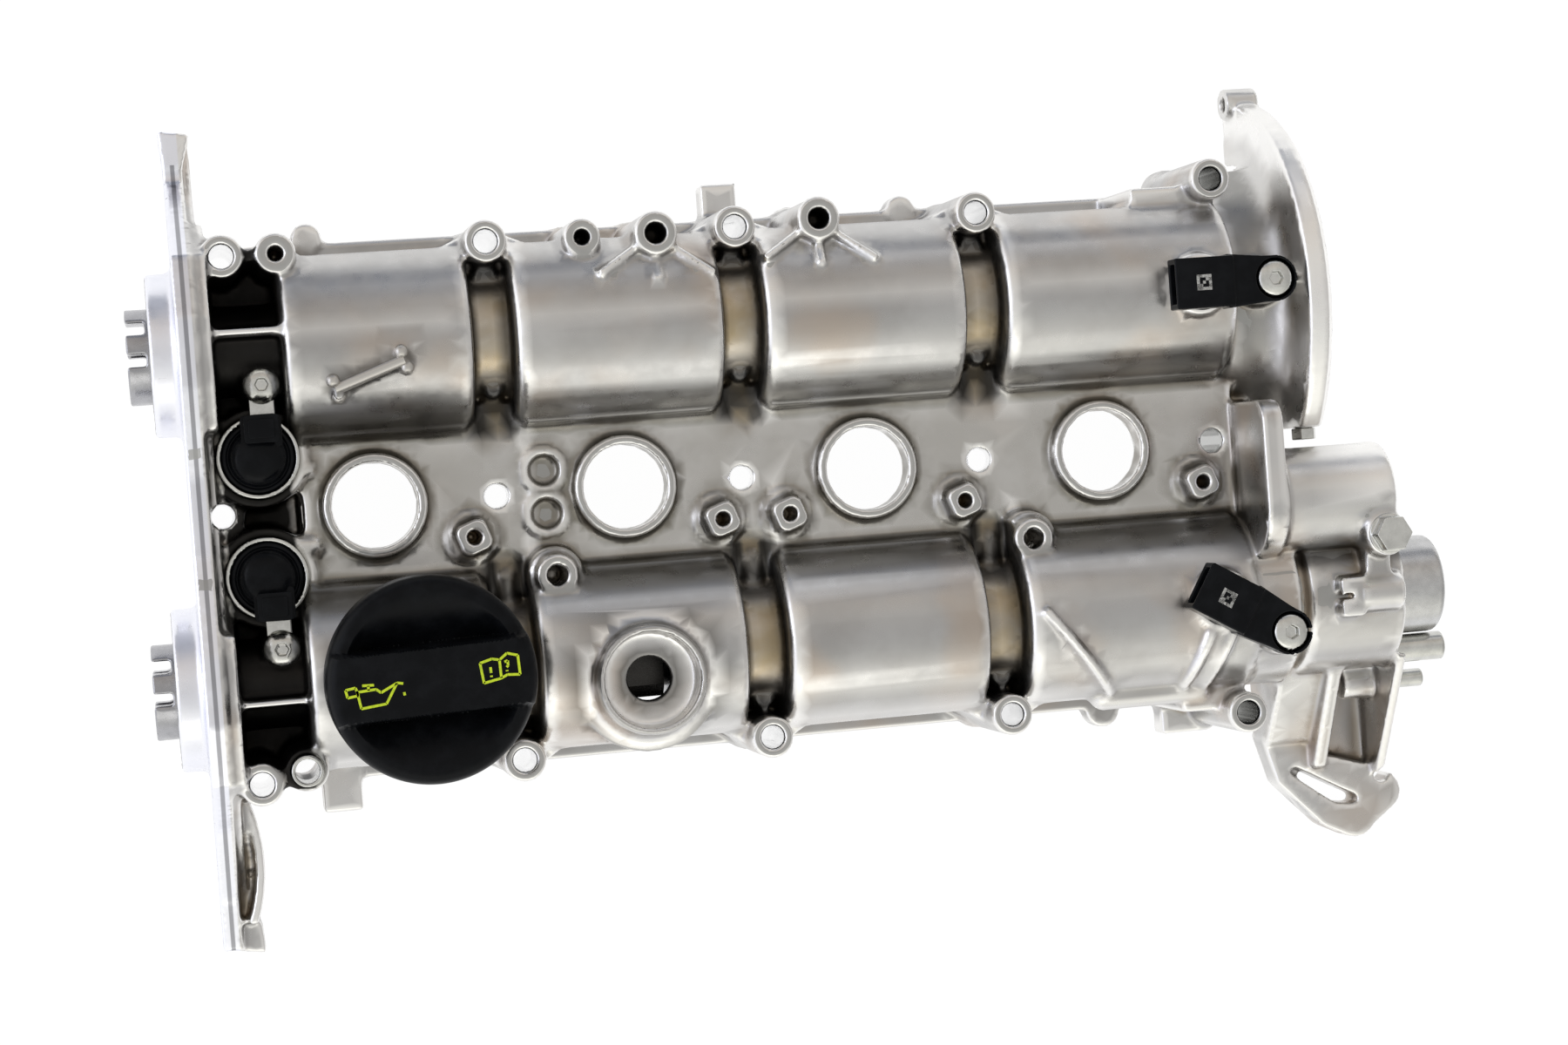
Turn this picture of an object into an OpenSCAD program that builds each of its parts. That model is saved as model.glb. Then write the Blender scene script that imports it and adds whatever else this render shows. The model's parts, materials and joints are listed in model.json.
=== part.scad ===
// Camshaft housing cover of a four cylinder twin camshaft engine.
// X runs along the camshafts from the timing end to the rear, Y across them, Z up from the joint face.
// The origin is the middle of the four inner edge bolts, on the joint face.

/* [Layout] */
// Distance between neighbouring plug holes
bore_pitch = 82; // [80:0.5:86]
// From the bolt centre to the line of plug holes
plug_line_y = 1.8; // [0:0.1:4]
// From the plug line to the exhaust camshaft
exhaust_offset = 53.2; // [51:0.1:56]
// From the plug line to the intake camshaft
intake_offset = 55.3; // [53:0.1:58]
// Height of both camshaft axes above the joint face
cam_z = 28; // [26:0.5:30]
// From the bolt centre to each row of edge bolts
bolt_row_y = 84.1; // [83:0.1:88]

/* [Casting] */
// Outer radius of the barrels over the camshafts
barrel_r = 32; // [31:0.5:34]
// Wall of the barrels
barrel_wall = 4.5; // [3.5:0.5:5]
// How far the flat outer flank cuts into a barrel
flank_cut = 3.2; // [1:0.2:4]
// Rounding of the barrel ends
barrel_edge = 3; // [2:0.5:4]
// Gap between two barrels
groove_w = 13.5; // [11:0.5:15]
// Thickness of a bearing web
web_t = 17.8; // [16.4:0.2:19]
// Outer radius of a bearing ring
ring_r = 21.5; // [19:0.5:23]
// Top of the plate between the barrels
plate_top = 38; // [36:0.5:40]
// Thickness of the plate
plate_t = 4.5; // [3.5:0.5:6]
// Thickness of the joint flange
joint_t = 9; // [7:0.5:12]
// How far the joint flange stands out past the barrels
joint_lip = 3.2; // [2:0.2:5]
// Depth of the slots where a groove runs into the plate
slot_depth = 4; // [2:0.5:5]

/* [Plug holes and bolts] */
// Radius of a plug hole
plug_r = 13.9; // [12:0.1:15]
// Radius of the collar round a plug hole
collar_r = 17; // [16.2:0.1:19]
// Height of the collars above the plate
collar_h = 5; // [3:0.5:8]
// Radius of a bolt hole
bolt_hole_r = 3.9; // [3.3:0.1:4.3]
// Radius of an edge boss
boss_r = 7; // [6.4:0.1:7.4]
// Top of the edge bosses
boss_top = 52.7; // [48:0.1:56]
// Core radius of a small tapped hole
tap_small_r = 2.5; // [2:0.1:3]
// Core radius of a large tapped hole
tap_large_r = 3.4; // [3:0.1:4]
// Radius of a small tapped boss
tap_boss_r = 6.2; // [5:0.1:7]
// Height of a tapped boss above the plate
tap_boss_h = 9; // [6:0.5:12]

/* [Timing end] */
// Radius of the hub round each camshaft end
hub_r = 26.5; // [25.5:0.5:28]
// Length of a hub in front of the flange
hub_len = 8.6; // [6:0.1:14]
// Width of the timing flange with its inner wall, along the camshafts
flange_w = 11; // [10:0.5:13]
// Width of the flange's outer wall
flange_wall = 6.5; // [5:0.1:7.5]
// Depth of the channel in the flange's edge
flange_channel = 1.2; // [0.6:0.1:2]
// Reach of the flange on the exhaust side
flange_reach_exhaust = 129; // [125:0.5:134]
// Reach of the flange on the intake side
flange_reach_intake = 142; // [138:0.5:148]
// Length of the recess behind the flange
recess_len = 22; // [20:0.5:25]
// Floor of the recess
recess_floor = 12; // [10:0.5:16]

/* [Camshafts] */
// Radius of the camshaft tube
tube_r = 12; // [11:0.5:13]
// Wall of the camshaft tube
tube_wall = 3.2; // [2:0.1:5]
// Running clearance of the shafts in their bores
running_gap = 0.05; // [0.02:0.01:0.09]
// Base circle radius of a cam
cam_base_r = 16; // [15:0.5:17]
// Lift of a cam
cam_lift = 7.6; // [6:0.2:8]
// Radius of a cam's nose
cam_nose_r = 5; // [4:0.5:6]
// Width of a cam
cam_w = 10; // [8:0.5:11]
// Distance between the two cams of a cylinder
cam_pair = 31; // [28:0.5:32]
// Radius of the slotted shaft ends
shaft_end_r = 15.5; // [14:0.5:16.5]
// Width of the slots in the shaft ends
shaft_slot_w = 4; // [3:0.5:5]
// How far the shaft ends stand out of the hubs
shaft_stub = 7.1; // [5:0.1:10]
// Radius of a trigger wheel
trigger_r = 24; // [22:0.5:25]
// Thickness of a trigger wheel
trigger_t = 8; // [6:0.5:9]

/* [Bearings and seals] */
// Outer radius of the front ball bearings and oil seals
bearing_r = 23.3; // [22.5:0.1:23.5]
// Width of the front ball bearings
bearing_w = 11; // [9:0.5:11.5]
// Radius of the balls
ball_r = 2.8; // [2.4:0.1:3]
// Number of balls
ball_count = 11; // [8:1:12]
// Width of an oil seal
seal_w = 5; // [4:0.5:5.5]
// Gap left round pressed-in pieces
fit_gap = 0.02; // [0.01:0.01:0.05]
// Gap left between pieces that rest on each other
seat_gap = 0.1; // [0.05:0.05:0.3]

/* [Oil filler] */
// Radius of the filler cap
cap_r = 32.7; // [31:0.1:34]
// Height of the grip bar above the joint face
cap_top = 92; // [88:0.5:96]
// Width of the grip bar
grip_w = 23; // [20:0.5:26]
// Radius of the filler throat
throat_r = 20; // [18:0.5:21]
// Outer radius of the filler neck
neck_r = 25.5; // [24:0.5:27]
// Top of the filler neck
neck_top = 68; // [65:0.5:70]

/* [Pump seat] */
// From the first plug behind the middle to the pump seat, towards the rear
pump_shift_x = 0.7; // [0:0.1:3]
// From the intake camshaft to the pump seat, outwards
pump_shift_y = 7.5; // [4:0.1:9]
// Outer radius of the pump seat
pump_seat_r = 20.5; // [19:0.5:22]
// Radius of the pump socket
pump_socket_r = 15.7; // [15:0.1:17]
// Depth of the pump socket
pump_socket_h = 8.5; // [6:0.5:9]
// Radius of the hole for the tappet rod
pump_hole_r = 7.2; // [6:0.1:9]
// Top of the pump seat
pump_top = 66; // [64:0.5:70]

/* [Control valves] */
// Radius of a control valve's steel can
valve_r = 13.2; // [12:0.1:14]
// From the plug line to the exhaust control valve
exhaust_valve_y = 18; // [16.5:0.1:20]
// From the plug line to the intake control valve
intake_valve_y = 20.7; // [19:0.1:22]
// Top of the valve wells
well_top = 40; // [37:0.5:44]
// Radius of the valve wells
well_r = 16.2; // [15.6:0.1:17]
// Height of a can's rim above its well
can_h = 8; // [6:0.5:10]
// Radius of the head of a small bolt
bolt_head_r = 6.2; // [5:0.1:7]

/* [Sensors] */
// From a sensor's probe to its bolt
sensor_reach = 24; // [22:0.5:27]
// From a sensor's probe to its plug end
sensor_tip = 11.5; // [9:0.5:14]
// Height of the sensor seats above the barrels
sensor_seat_h = 1.2; // [0.8:0.1:3]
// Width of a sensor's plug end
sensor_w = 17; // [14:0.5:19]
// Height of a sensor's body
sensor_h = 9; // [7:0.5:11]
// Radius of a sensor's probe
probe_r = 6.5; // [5:0.1:7.5]
// From the intake camshaft to its sensor, inwards
intake_sensor_shift = 2.2; // [0:0.1:3]
// Turn of the intake sensor about its probe
intake_sensor_turn = -31; // [-40:1:-20]

/* [Rear end] */
// Outer radius of the bell flange
bell_r = 71; // [69:0.5:73]
// Radius of the bell's neck at the barrel
bell_neck_r = 47; // [46:0.5:50]
// Radius of the bell's neck at its flange
bell_throat_r = 60; // [58:0.5:62]
// From the exhaust camshaft to the middle of the bell
bell_offset = 5; // [3:0.1:7]
// Thickness of the bell flange
bell_flange_t = 9; // [6:0.5:10]
// Depth of the bell from the barrel's end to its flange
bell_depth = 20; // [18:0.5:22]
// Wall of the bell
bell_wall = 5; // [4:0.5:7]
// Radius of the disc at the side pipe's foot
side_disc_r = 19.5; // [18.5:0.5:21]
// Height of the side pipe's axis above the camshaft axes
side_pipe_rise = 22; // [20:0.5:24]
// Radius of the side pipe
side_pipe_r = 17.7; // [16:0.1:19]
// Length of the side pipe
side_pipe_len = 41; // [36:0.5:46]
// Radius of the rear end cap
end_cap_r = 17; // [14:0.1:18]
// Length of the rear end cap
end_cap_len = 19; // [12:0.5:22]
// Radius of the return pipe
return_pipe_r = 5; // [4:0.1:6]
// How far the return pipe stands out of the tail
return_pipe_len = 22.5; // [16:0.5:30]
// How far the locating pin stands out of the tail
pin_len = 19; // [12:0.5:24]

/* [Hidden] */
$fn = 64;
eps = 0.5;
big = 600;

// Places that follow from the sizes above
exhaust_y = plug_line_y + exhaust_offset;
intake_y = plug_line_y - intake_offset;
cams = [exhaust_y, intake_y];
sides = [1, -1];
last_plug_x = 1.5 * bore_pitch;
plug_x = [for (i = [-1.5:1:1.5]) i * bore_pitch];
web_x = [-bore_pitch, 0, bore_pitch];
centre_shift = 1.2;
tunnel_r = barrel_r - barrel_wall;
barrel_x0 = -last_plug_x - 26;
barrel_x1 = last_plug_x + 47;
rear_web_x0 = barrel_x1 - 8;
plate_under = plate_top - plate_t;
flank = barrel_r - flank_cut;
wall_half = flank - 0.3;
bay_half = flank - 3.6;
joint_y_ex = exhaust_y + barrel_r + joint_lip;
joint_y_in = intake_y - barrel_r - joint_lip;
front_bolt_x = barrel_x0 - 17;
front_centre_x = barrel_x0 - recess_len - 0.5;
rear_bolt_x = barrel_x1 - 5;
rear_row_y = bolt_row_y + 6.8;
flange_x1 = barrel_x0 - recess_len;
flange_x0 = flange_x1 - flange_w;
hub_x0 = flange_x0 - hub_len;
shaft_x0 = hub_x0 - shaft_stub;
boss_bottom = joint_t - 2;
trigger_x = rear_web_x0 - trigger_t - 2.5;
probe_x = trigger_x + trigger_t / 2;
tube_x0 = flange_x1 + 2;
tube_x1_ex = barrel_x1 + 2;
tail_x1 = barrel_x1 + 54;
tail_top = cam_z + barrel_r - 4;
tube_x1_in = tail_x1 - 9;
pin_y = intake_y - 34;
pin_z = 17;
pin_r = 3.2;
return_pipe_y = intake_y - end_cap_r - return_pipe_r - 0.3;
plug_seat = [barrel_x1 + 43.5, intake_y + 20, 67.5];
bell_bolt_x = barrel_x1 + bell_depth + 4.5;
valve_x = barrel_x0 - 10.2;
pump_x = plug_x[1] + pump_shift_x;
pump_y = intake_y - pump_shift_y;
filler_x = plug_x[0] + 10.5;
neck_bottom = cam_z + 12;
bell_y = exhaust_y - bell_offset;
bell_end_y = plug_line_y + 2.5;
side_wall_y = bell_end_y + 2.5;
bell_end_z = sqrt(pow(bell_r - 3, 2) - pow(bell_y - bell_end_y, 2));
bell_bolt_z = bell_end_z - 5;
bolt_shank = 2.5;
side_pipe_y = plug_line_y - 21.5;
side_pipe_z = cam_z + side_pipe_rise;
bearing_x0 = hub_x0 + seal_w + 0.8;
bearing_x1 = bearing_x0 + bearing_w;
bearing_pitch_r = (bearing_r + shaft_end_r - 3) / 2 + 0.3;
sensor_z = cam_z + barrel_r + sensor_seat_h;
sensor_depth = sensor_z - cam_z - trigger_r - 1;
sensor_places = [[exhaust_y, 0], [intake_y + intake_sensor_shift, intake_sensor_turn]];

// Points on an arc
function arc(c, r, a0, a1, n = 6) =
    [for (i = [0:n]) let (a = a0 + (a1 - a0) * i / n) [c[0] + r * cos(a), c[1] + r * sin(a)]];

// Places the children with their own Z along the camshafts
module along_x(x, y, z) {
    translate([x, y, z]) rotate([0, 90, 0]) children();
}

// Places the children with their own Z along Y
module along_y(x, y, z) {
    translate([x, y, z]) rotate([-90, 0, 0]) children();
}

// A round bar along the camshafts
module bar_x(x0, x1, y, z, r) {
    along_x(x0, y, z) cylinder(r = r, h = x1 - x0);
}

// A box given by its two corners
module block(a, b) {
    translate(a) cube(b - a);
}

// A round bar with both rims rounded
module drum(r, h, f) {
    rotate_extrude() polygon(concat(
        [[0, 0]],
        arc([r - f, f], f, -90, 0),
        arc([r - f, h - f], f, 0, 90),
        [[0, h]]
    ));
}

// An upright boss with its top rim rounded
module boss(x, y, z0, z1, r, f = 0.8) {
    translate([x, y, z0]) rotate_extrude() polygon(concat(
        [[0, 0], [r, 0]],
        arc([r - f, z1 - z0 - f], f, 0, 90, 3),
        [[0, z1 - z0]]
    ));
}

// An upright boss with a hollow curved foot
module footed_boss(x, y, z0, z1, r, foot) {
    translate([x, y, z0]) rotate_extrude() polygon(concat(
        [[0, -eps], [r + foot, -eps]],
        arc([r + foot, foot], foot, -90, -180, 5),
        arc([r - 0.8, z1 - z0 - 0.8], 0.8, 0, 90, 3),
        [[0, z1 - z0]]
    ));
}

// A ring given by two radii
module ring(ro, ri, h) {
    difference() {
        cylinder(r = ro, h = h);
        translate([0, 0, -1]) cylinder(r = ri, h = h + 2);
    }
}

// Ends of the barrels along X, with the gaps between them
barrel_ends = [
    [barrel_x0, -bore_pitch - groove_w / 2],
    [-bore_pitch + groove_w / 2, -groove_w / 2],
    [groove_w / 2, bore_pitch - groove_w / 2],
    [bore_pitch + groove_w / 2, barrel_x1]
];

// Ends of the hollow bays between the bearing webs
bay_ends = [
    [barrel_x0 + barrel_wall, -bore_pitch - web_t / 2],
    [-bore_pitch + web_t / 2, -web_t / 2],
    [web_t / 2, bore_pitch - web_t / 2],
    [bore_pitch + web_t / 2, rear_web_x0]
];

module barrels() {
    for (cy = cams, e = barrel_ends) {
        outward = cy > 0 ? 1 : -1;
        intersection() {
            along_x(e[0], cy, cam_z) drum(barrel_r, e[1] - e[0], barrel_edge);
            block([e[0] - 1, min(cy - outward * 40, cy + outward * flank), -10],
                  [e[1] + 1, max(cy - outward * 40, cy + outward * flank), 100]);
        }
    }
}

// Webs that widen the edge bosses towards the barrels
module boss_webs() {
    web_z = cam_z + 13.5;
    for (x = web_x, s = sides) {
        y0 = s > 0 ? exhaust_y + flank - 2.5 : intake_y - flank + 2.5;
        y1 = s * (bolt_row_y + 3);
        linear_extrude(web_z) polygon([
            [x - 15, y0], [x - 12.5, y0 + s * 3.2], [x - 6.4, y1],
            [x + 6.4, y1], [x + 12.5, y0 + s * 3.2], [x + 15, y0]
        ]);
    }
}

// The plate, the side walls below the barrels and the bearing rings
module core_block() {
    block([barrel_x0 + 3, intake_y, 0], [barrel_x1 + 2, exhaust_y, plate_top]);
    block([barrel_x0 + 3, exhaust_y, 0], [barrel_x1 + 2, exhaust_y + wall_half, cam_z]);
    block([barrel_x0 + 3, intake_y - wall_half, 0], [barrel_x1 + 2, intake_y, cam_z]);
    for (cy = cams) bar_x(barrel_x0 + 1, barrel_x1 + 1, cy, cam_z, ring_r);
}

// Small hollow fillets where the barrels meet the plate
module barrel_feet() {
    foot = 3.5;
    dy = sqrt(pow(barrel_r, 2) - pow(plate_top - cam_z, 2));
    for (cy = cams, e = barrel_ends) {
        inward = cy > 0 ? -1 : 1;
        translate([e[0] + barrel_edge, cy + inward * dy, plate_top])
            rotate([90, 0, 90]) linear_extrude(e[1] - e[0] - 2 * barrel_edge) polygon(concat(
                [[-inward * 2, -1], [inward * foot, -1]],
                [for (t = [0:0.25:1]) [inward * foot * pow(1 - t, 2), foot * pow(t, 2)]],
                [[-inward * 2, foot]]
            ));
    }
}

module joint_flange() {
    linear_extrude(joint_t) union() {
        translate([front_bolt_x, joint_y_in])
            square([rear_bolt_x - front_bolt_x, joint_y_ex - joint_y_in]);
        for (x = concat([front_bolt_x], web_x), s = sides)
            translate([x, s * bolt_row_y]) circle(r = boss_r + 0.6);
        for (s = sides)
            translate([rear_bolt_x, s * rear_row_y]) circle(r = boss_r + 1);
    }
}

// Square and half-round clamping pads along the joint flange
module clamping_pads() {
    pad_t = joint_t + 1;
    block([-bore_pitch + 79, 60, 0], [-bore_pitch + 91.5, exhaust_y + 47.5, pad_t]);
    block([barrel_x0 + 3.5, intake_y - 46, 0], [barrel_x0 + 16.5, -60, pad_t]);
    block([rear_bolt_x - 17, intake_y - 46.5, 0], [rear_bolt_x + 1, -60, pad_t]);
    for (p = [[barrel_x0 + 12, exhaust_y + 37], [bore_pitch - 15, exhaust_y + 35]])
        translate([p[0], p[1], 0]) cylinder(r = 5, h = pad_t);
    translate([bore_pitch + 45, intake_y - 36, 0]) cylinder(r = 6, h = pad_t - 1);
}

// Solid part of the recess behind the timing flange
module recess_body() {
    block([flange_x1 - 1, intake_y - wall_half, 0], [barrel_x0 + 4, exhaust_y + wall_half, recess_floor]);
    for (cy = cams) bar_x(flange_x1 - 1, barrel_x0 + 2, cy, cam_z, tube_r + 3);
    for (y = [plug_line_y + exhaust_valve_y, plug_line_y - intake_valve_y])
        boss(valve_x, y, 2, well_top, well_r, 1);
    block([flange_x1 - 1, exhaust_y + 3.5, 4], [barrel_x0 + 2, exhaust_y + 5.7, cam_z + 30]);
    block([flange_x1 - 1, intake_y - 6, 4], [barrel_x0 + 2, intake_y - 4, cam_z + 26]);
    boss(front_centre_x, plug_line_y, 2, plate_top - 2, boss_r, 0.8);
    for (y = [plug_line_y + exhaust_valve_y - 4.5, plug_line_y - intake_valve_y + 9]) {
        bar_x(valve_x + 10, barrel_x0 + 5, y, well_top - 4, 4.2);
        translate([barrel_x0 + 5, y, well_top - 4]) sphere(r = 4.2);
    }
    for (y = [exhaust_y - 12, intake_y + 11.5])
        boss(valve_x + 2.8, y, 2, well_top + 2, bolt_head_r, 0.6);
}

// Ring, base and top of each boss that a bolt passes through or screws into
module edge_bosses() {
    for (x = web_x, s = sides) boss(x, s * bolt_row_y, 1, boss_top, boss_r);
    for (s = sides) {
        boss(front_bolt_x, s * bolt_row_y, 1, boss_top, boss_r);
        boss(rear_bolt_x, s * rear_row_y, 1, boss_top, boss_r);
    }
    footed_boss(barrel_x0, bolt_row_y, boss_bottom, boss_top, tap_boss_r + 0.4, 1.5);
    block([front_bolt_x, bolt_row_y - 2, 2], [barrel_x0, bolt_row_y + 1.5, boss_top - 2]);
    block([front_bolt_x, -bolt_row_y - 1.5, 2], [barrel_x0, -bolt_row_y + 2, boss_top - 3]);
    footed_boss(barrel_x0 - 2.6, -bolt_row_y + 3.2, boss_bottom, boss_top - 1, boss_r, 1.5);
    block([rear_bolt_x - 26, exhaust_y + 28, 2], [rear_bolt_x, rear_row_y - 1, boss_top - 9]);
    block([rear_bolt_x - 20, -rear_row_y + 1, 2], [rear_bolt_x, intake_y - 28, boss_top - 9]);
}

// Places of the tapped bosses on the exhaust edge, with their tops and radii
exhaust_bosses = [
    [-bore_pitch + 31.4, bolt_row_y - 0.5, boss_top, tap_boss_r, tap_small_r],
    [-bore_pitch + 55.1, bolt_row_y - 0.8, boss_top + 3.5, boss_r + 0.2, tap_large_r],
    [bore_pitch - 54.4, bolt_row_y + 0.9, boss_top + 3.5, boss_r + 0.2, tap_large_r]
];

module exhaust_tapped_bosses() {
    for (b = exhaust_bosses) footed_boss(b[0], b[1], boss_bottom, b[2], b[3], 2);
    for (b = [exhaust_bosses[1], exhaust_bosses[2]], a = [-148, -92, -38])
        translate([b[0], b[1], 0]) rotate([90, 0, a]) translate([0, 0, -1.1])
            linear_extrude(2.2) polygon([
                [0, cam_z], [0, b[2] - 3], [8, b[2] - 2.5],
                [a == -92 ? 15 : 23, b[2] + 2.6], [a == -92 ? 15 : 23, cam_z + 14]
            ]);
}

// Places of the small tapped bosses on the plate
plate_bosses = [
    [-bore_pitch - 10.2, -12.8], [-10.1, -13.2], [12.6, -13.2],
    [bore_pitch - 9.3, -13.4], [last_plug_x + 33.8, -13.3]
];

// Places of the tall tapped bosses at the foot of the intake barrel
tall_bosses = [[-bore_pitch + 15.3, -27], [bore_pitch + 12.2, -27.7]];

module plate_tapped_bosses() {
    for (b = plate_bosses) {
        translate([b[0], plug_line_y + b[1], plate_top - 1]) ring(8.4, 6.6, 2.4);
        intersection() {
            boss(b[0], plug_line_y + b[1], plate_under, plate_top + tap_boss_h, tap_boss_r);
            translate([b[0], plug_line_y + b[1], plate_under]) rotate([0, 0, 20])
                translate([-tap_boss_r + 0.9, -tap_boss_r + 0.9, 0])
                    cube([2 * tap_boss_r - 1.8, 2 * tap_boss_r - 1.8, plate_t + tap_boss_h]);
        }
    }
    for (b = tall_bosses) {
        boss(b[0], plug_line_y + b[1], plate_under, plate_top + 9, 9.3, 1.5);
        boss(b[0], plug_line_y + b[1], plate_under, plate_top + 13.5, 6.9);
    }
    for (dy = [7.3, -7]) translate([-bore_pitch + 14.8, plug_line_y + dy, plate_top - 1])
        cylinder(r = 7.6, h = 2.2);
}

// Finger-like bumps where the intake grooves leave the plate
module oil_fingers() {
    for (x = web_x) {
        bar_y = intake_y + ring_r + 3;
        along_y(x, intake_y + 10, plate_top - 3.5) cylinder(r = 4.4, h = bar_y - intake_y - 10 + 4);
        translate([x, bar_y + 4, plate_top - 3.5]) sphere(r = 4.4);
        boss(x, intake_y - ring_r + 3.5, cam_z - 4, cam_z + 14.5, 3.6, 1);
        boss(x, exhaust_y - ring_r + 3.2, cam_z, cam_z + 14.5, 2.9, 1);
        boss(x, exhaust_y + ring_r - 3.5, cam_z - 4, cam_z + 14.5, 4.2, 1);
    }
}

module plug_collars() {
    for (x = plug_x) translate([x, plug_line_y, plate_under - 1])
        rotate_extrude() polygon(concat(
            [[plug_r - 1, 0], [collar_r + 2, 0], [collar_r + 2, plate_t + 1]],
            arc([collar_r + 2, plate_t + 3], 2, -90, -180, 4),
            arc([collar_r - 1, plate_t + collar_h], 1, 0, 90, 4),
            [[plug_r - 1, plate_t + collar_h + 1]]
        ));
}

// A raised casting mark on the first exhaust barrel, shaped like a dumb-bell
module casting_mark() {
    front = [barrel_x0 + 15.5, -15];
    rear = [barrel_x0 + 37.5, -7.4];
    surface_rib(front, rear, exhaust_y, 2.8, 1.4, 1.4);
    for (p = [front, rear], y = [-2.4, 2.4])
        boss(p[0] - y / 3, exhaust_y + p[1] + y, cam_z + 20, barrel_z(p[1]) + 2, 1.7, 0.7);
}

// Height of a barrel's surface at a distance across from its axis
function barrel_z(dy) = cam_z + sqrt(max(pow(barrel_r, 2) - dy * dy, 1));

// A rib that follows the barrel's surface from a to b, both given from the camshaft axis
module surface_rib(a, b, cy, w, h0, h1) {
    len = norm(b - a);
    translate([a[0], cy + a[1], 0]) rotate([90, 0, atan2(b[1] - a[1], b[0] - a[0])])
        translate([0, 0, -w / 2]) linear_extrude(w) polygon(concat(
            [[0, cam_z]],
            [for (t = [0:0.125:1]) [t * len, barrel_z(a[1] + (b[1] - a[1]) * t) + h0 + (h1 - h0) * t]],
            [[len, cam_z]]
        ));
}

// Ribs that lead oil over the last intake barrel
module oil_ribs() {
    front = [bore_pitch + 11.5, 3.8];
    low_front = [bore_pitch + 36.5, -27.5];
    low_rear = [last_plug_x + 24, -30];
    rear = [last_plug_x + 32, -9];
    surface_rib(front, low_front, intake_y, 2.4, 2, 3);
    for (dx = [-4, 4])
        surface_rib([low_rear[0] + dx, low_rear[1]], [rear[0] + dx, rear[1]], intake_y, 2.4, 3.5, 2.3);
    surface_rib([low_rear[0], low_rear[1] + 2], rear, intake_y, 8, 1.5, 1);
    bar_x(low_front[0] - 1, low_rear[0] + 4, intake_y + low_front[1] - 0.5, cam_z + 13, 5.2);
    for (x = [low_front[0] - 1, low_rear[0] + 4])
        translate([x, intake_y + low_front[1] - 0.5, cam_z + 13]) sphere(r = 5.2);
}

// Outline of the timing flange in Y and Z, narrower by inset
module flange_outline(inset) {
    top = cam_z + barrel_r + 3;
    polygon([
        [-flange_reach_intake + inset, -eps],
        [-flange_reach_intake + inset, 11 - inset],
        [-flange_reach_intake + 17 + inset / 2, 15 - inset],
        [intake_y - 46 + inset / 2, 33 - inset],
        [intake_y - 30, 56 - inset],
        [intake_y - 10, top - inset],
        [intake_y + 12, top - 1 - inset],
        [plug_line_y - 12, top - 9 - inset],
        [plug_line_y + 12, top - 9 - inset],
        [exhaust_y - 12, top - 1 - inset],
        [exhaust_y + 10, top - inset],
        [exhaust_y + 30, 56 - inset],
        [exhaust_y + 45 - inset / 2, 34 - inset],
        [flange_reach_exhaust - 17 - inset / 2, 15 - inset],
        [flange_reach_exhaust - inset, 12 - inset],
        [flange_reach_exhaust - inset, -eps]
    ]);
}

// A slice of the timing flange along X
module flange_slice(x0, x1, inset) {
    translate([x0, 0, 0]) rotate([90, 0, 90]) linear_extrude(x1 - x0) flange_outline(inset);
}

module timing_flange() {
    channel_w = flange_wall / 3;
    wall_x1 = flange_x0 + flange_wall;
    flange_slice(flange_x0, wall_x1, flange_channel);
    flange_slice(flange_x0, flange_x0 + channel_w, 0);
    flange_slice(wall_x1 - channel_w, wall_x1, 0);
    difference() {
        flange_slice(wall_x1 - eps, flange_x1, 1.5);
        block([wall_x1 - 1, intake_y + 18, recess_floor], [flange_x1 + 1, exhaust_y - 26, 200]);
        block([wall_x1 - 1, -200, -10], [flange_x1 + 1, intake_y - 33, 200]);
        block([wall_x1 - 1, exhaust_y + 41, -10], [flange_x1 + 1, 200, 200]);
    }
    flange_slice(wall_x1 - eps, wall_x1 + 2.5, 7);
    for (cy = cams) along_x(hub_x0, cy, cam_z) drum(hub_r, flange_x1 - hub_x0, 1);
    linear_extrude(15) polygon([
        [flange_x0, flange_reach_exhaust - 12], [flange_x0 - 1, flange_reach_exhaust + 0.5],
        [flange_x1 - 1.5, flange_reach_exhaust - 1], [wall_x1, flange_reach_exhaust - 12]
    ]);
    linear_extrude(9) polygon([
        [flange_x0 + 4, -flange_reach_intake + 9], [wall_x1 - 2, -flange_reach_intake - 0.5],
        [flange_x1 + 3, -flange_reach_intake - 2], [flange_x1 + 2.5, -flange_reach_intake + 8]
    ]);
}

// The loop-shaped rib at the intake end of the timing flange
module flange_loop() {
    y0 = -flange_reach_intake + 9;
    y1 = intake_y - 39;
    bulge = 3.6;
    loop_r = (pow((y1 - y0) / 2, 2) + pow(bulge, 2)) / (2 * bulge);
    middle = [flange_x1 + 4.5 - loop_r, (y0 + y1) / 2];
    linear_extrude(17) difference() {
        intersection() {
            translate(middle) circle(r = loop_r, $fn = 96);
            translate([flange_x1 - 5, y0]) square([20, y1 - y0]);
        }
        translate(middle) circle(r = loop_r - 3, $fn = 96);
    }
}

// Profile of the bell, as radius and distance along X from the barrel's end
module bell_profile() {
    flare = bell_throat_r - bell_neck_r;
    x1 = bell_depth + bell_flange_t;
    polygon(concat(
        [[0, -2], [bell_neck_r, -2]],
        [for (t = [0:15:90]) [bell_neck_r + flare * (1 - cos(t)), 2 + (bell_depth - 2) * sin(t)]],
        [
            [bell_r - 1, bell_depth], [bell_r, bell_depth + 1], [bell_r, x1 - 2],
            [bell_r - 2, x1 - 2], [bell_r - 2, x1], [0, x1]
        ]
    ));
}

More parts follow.
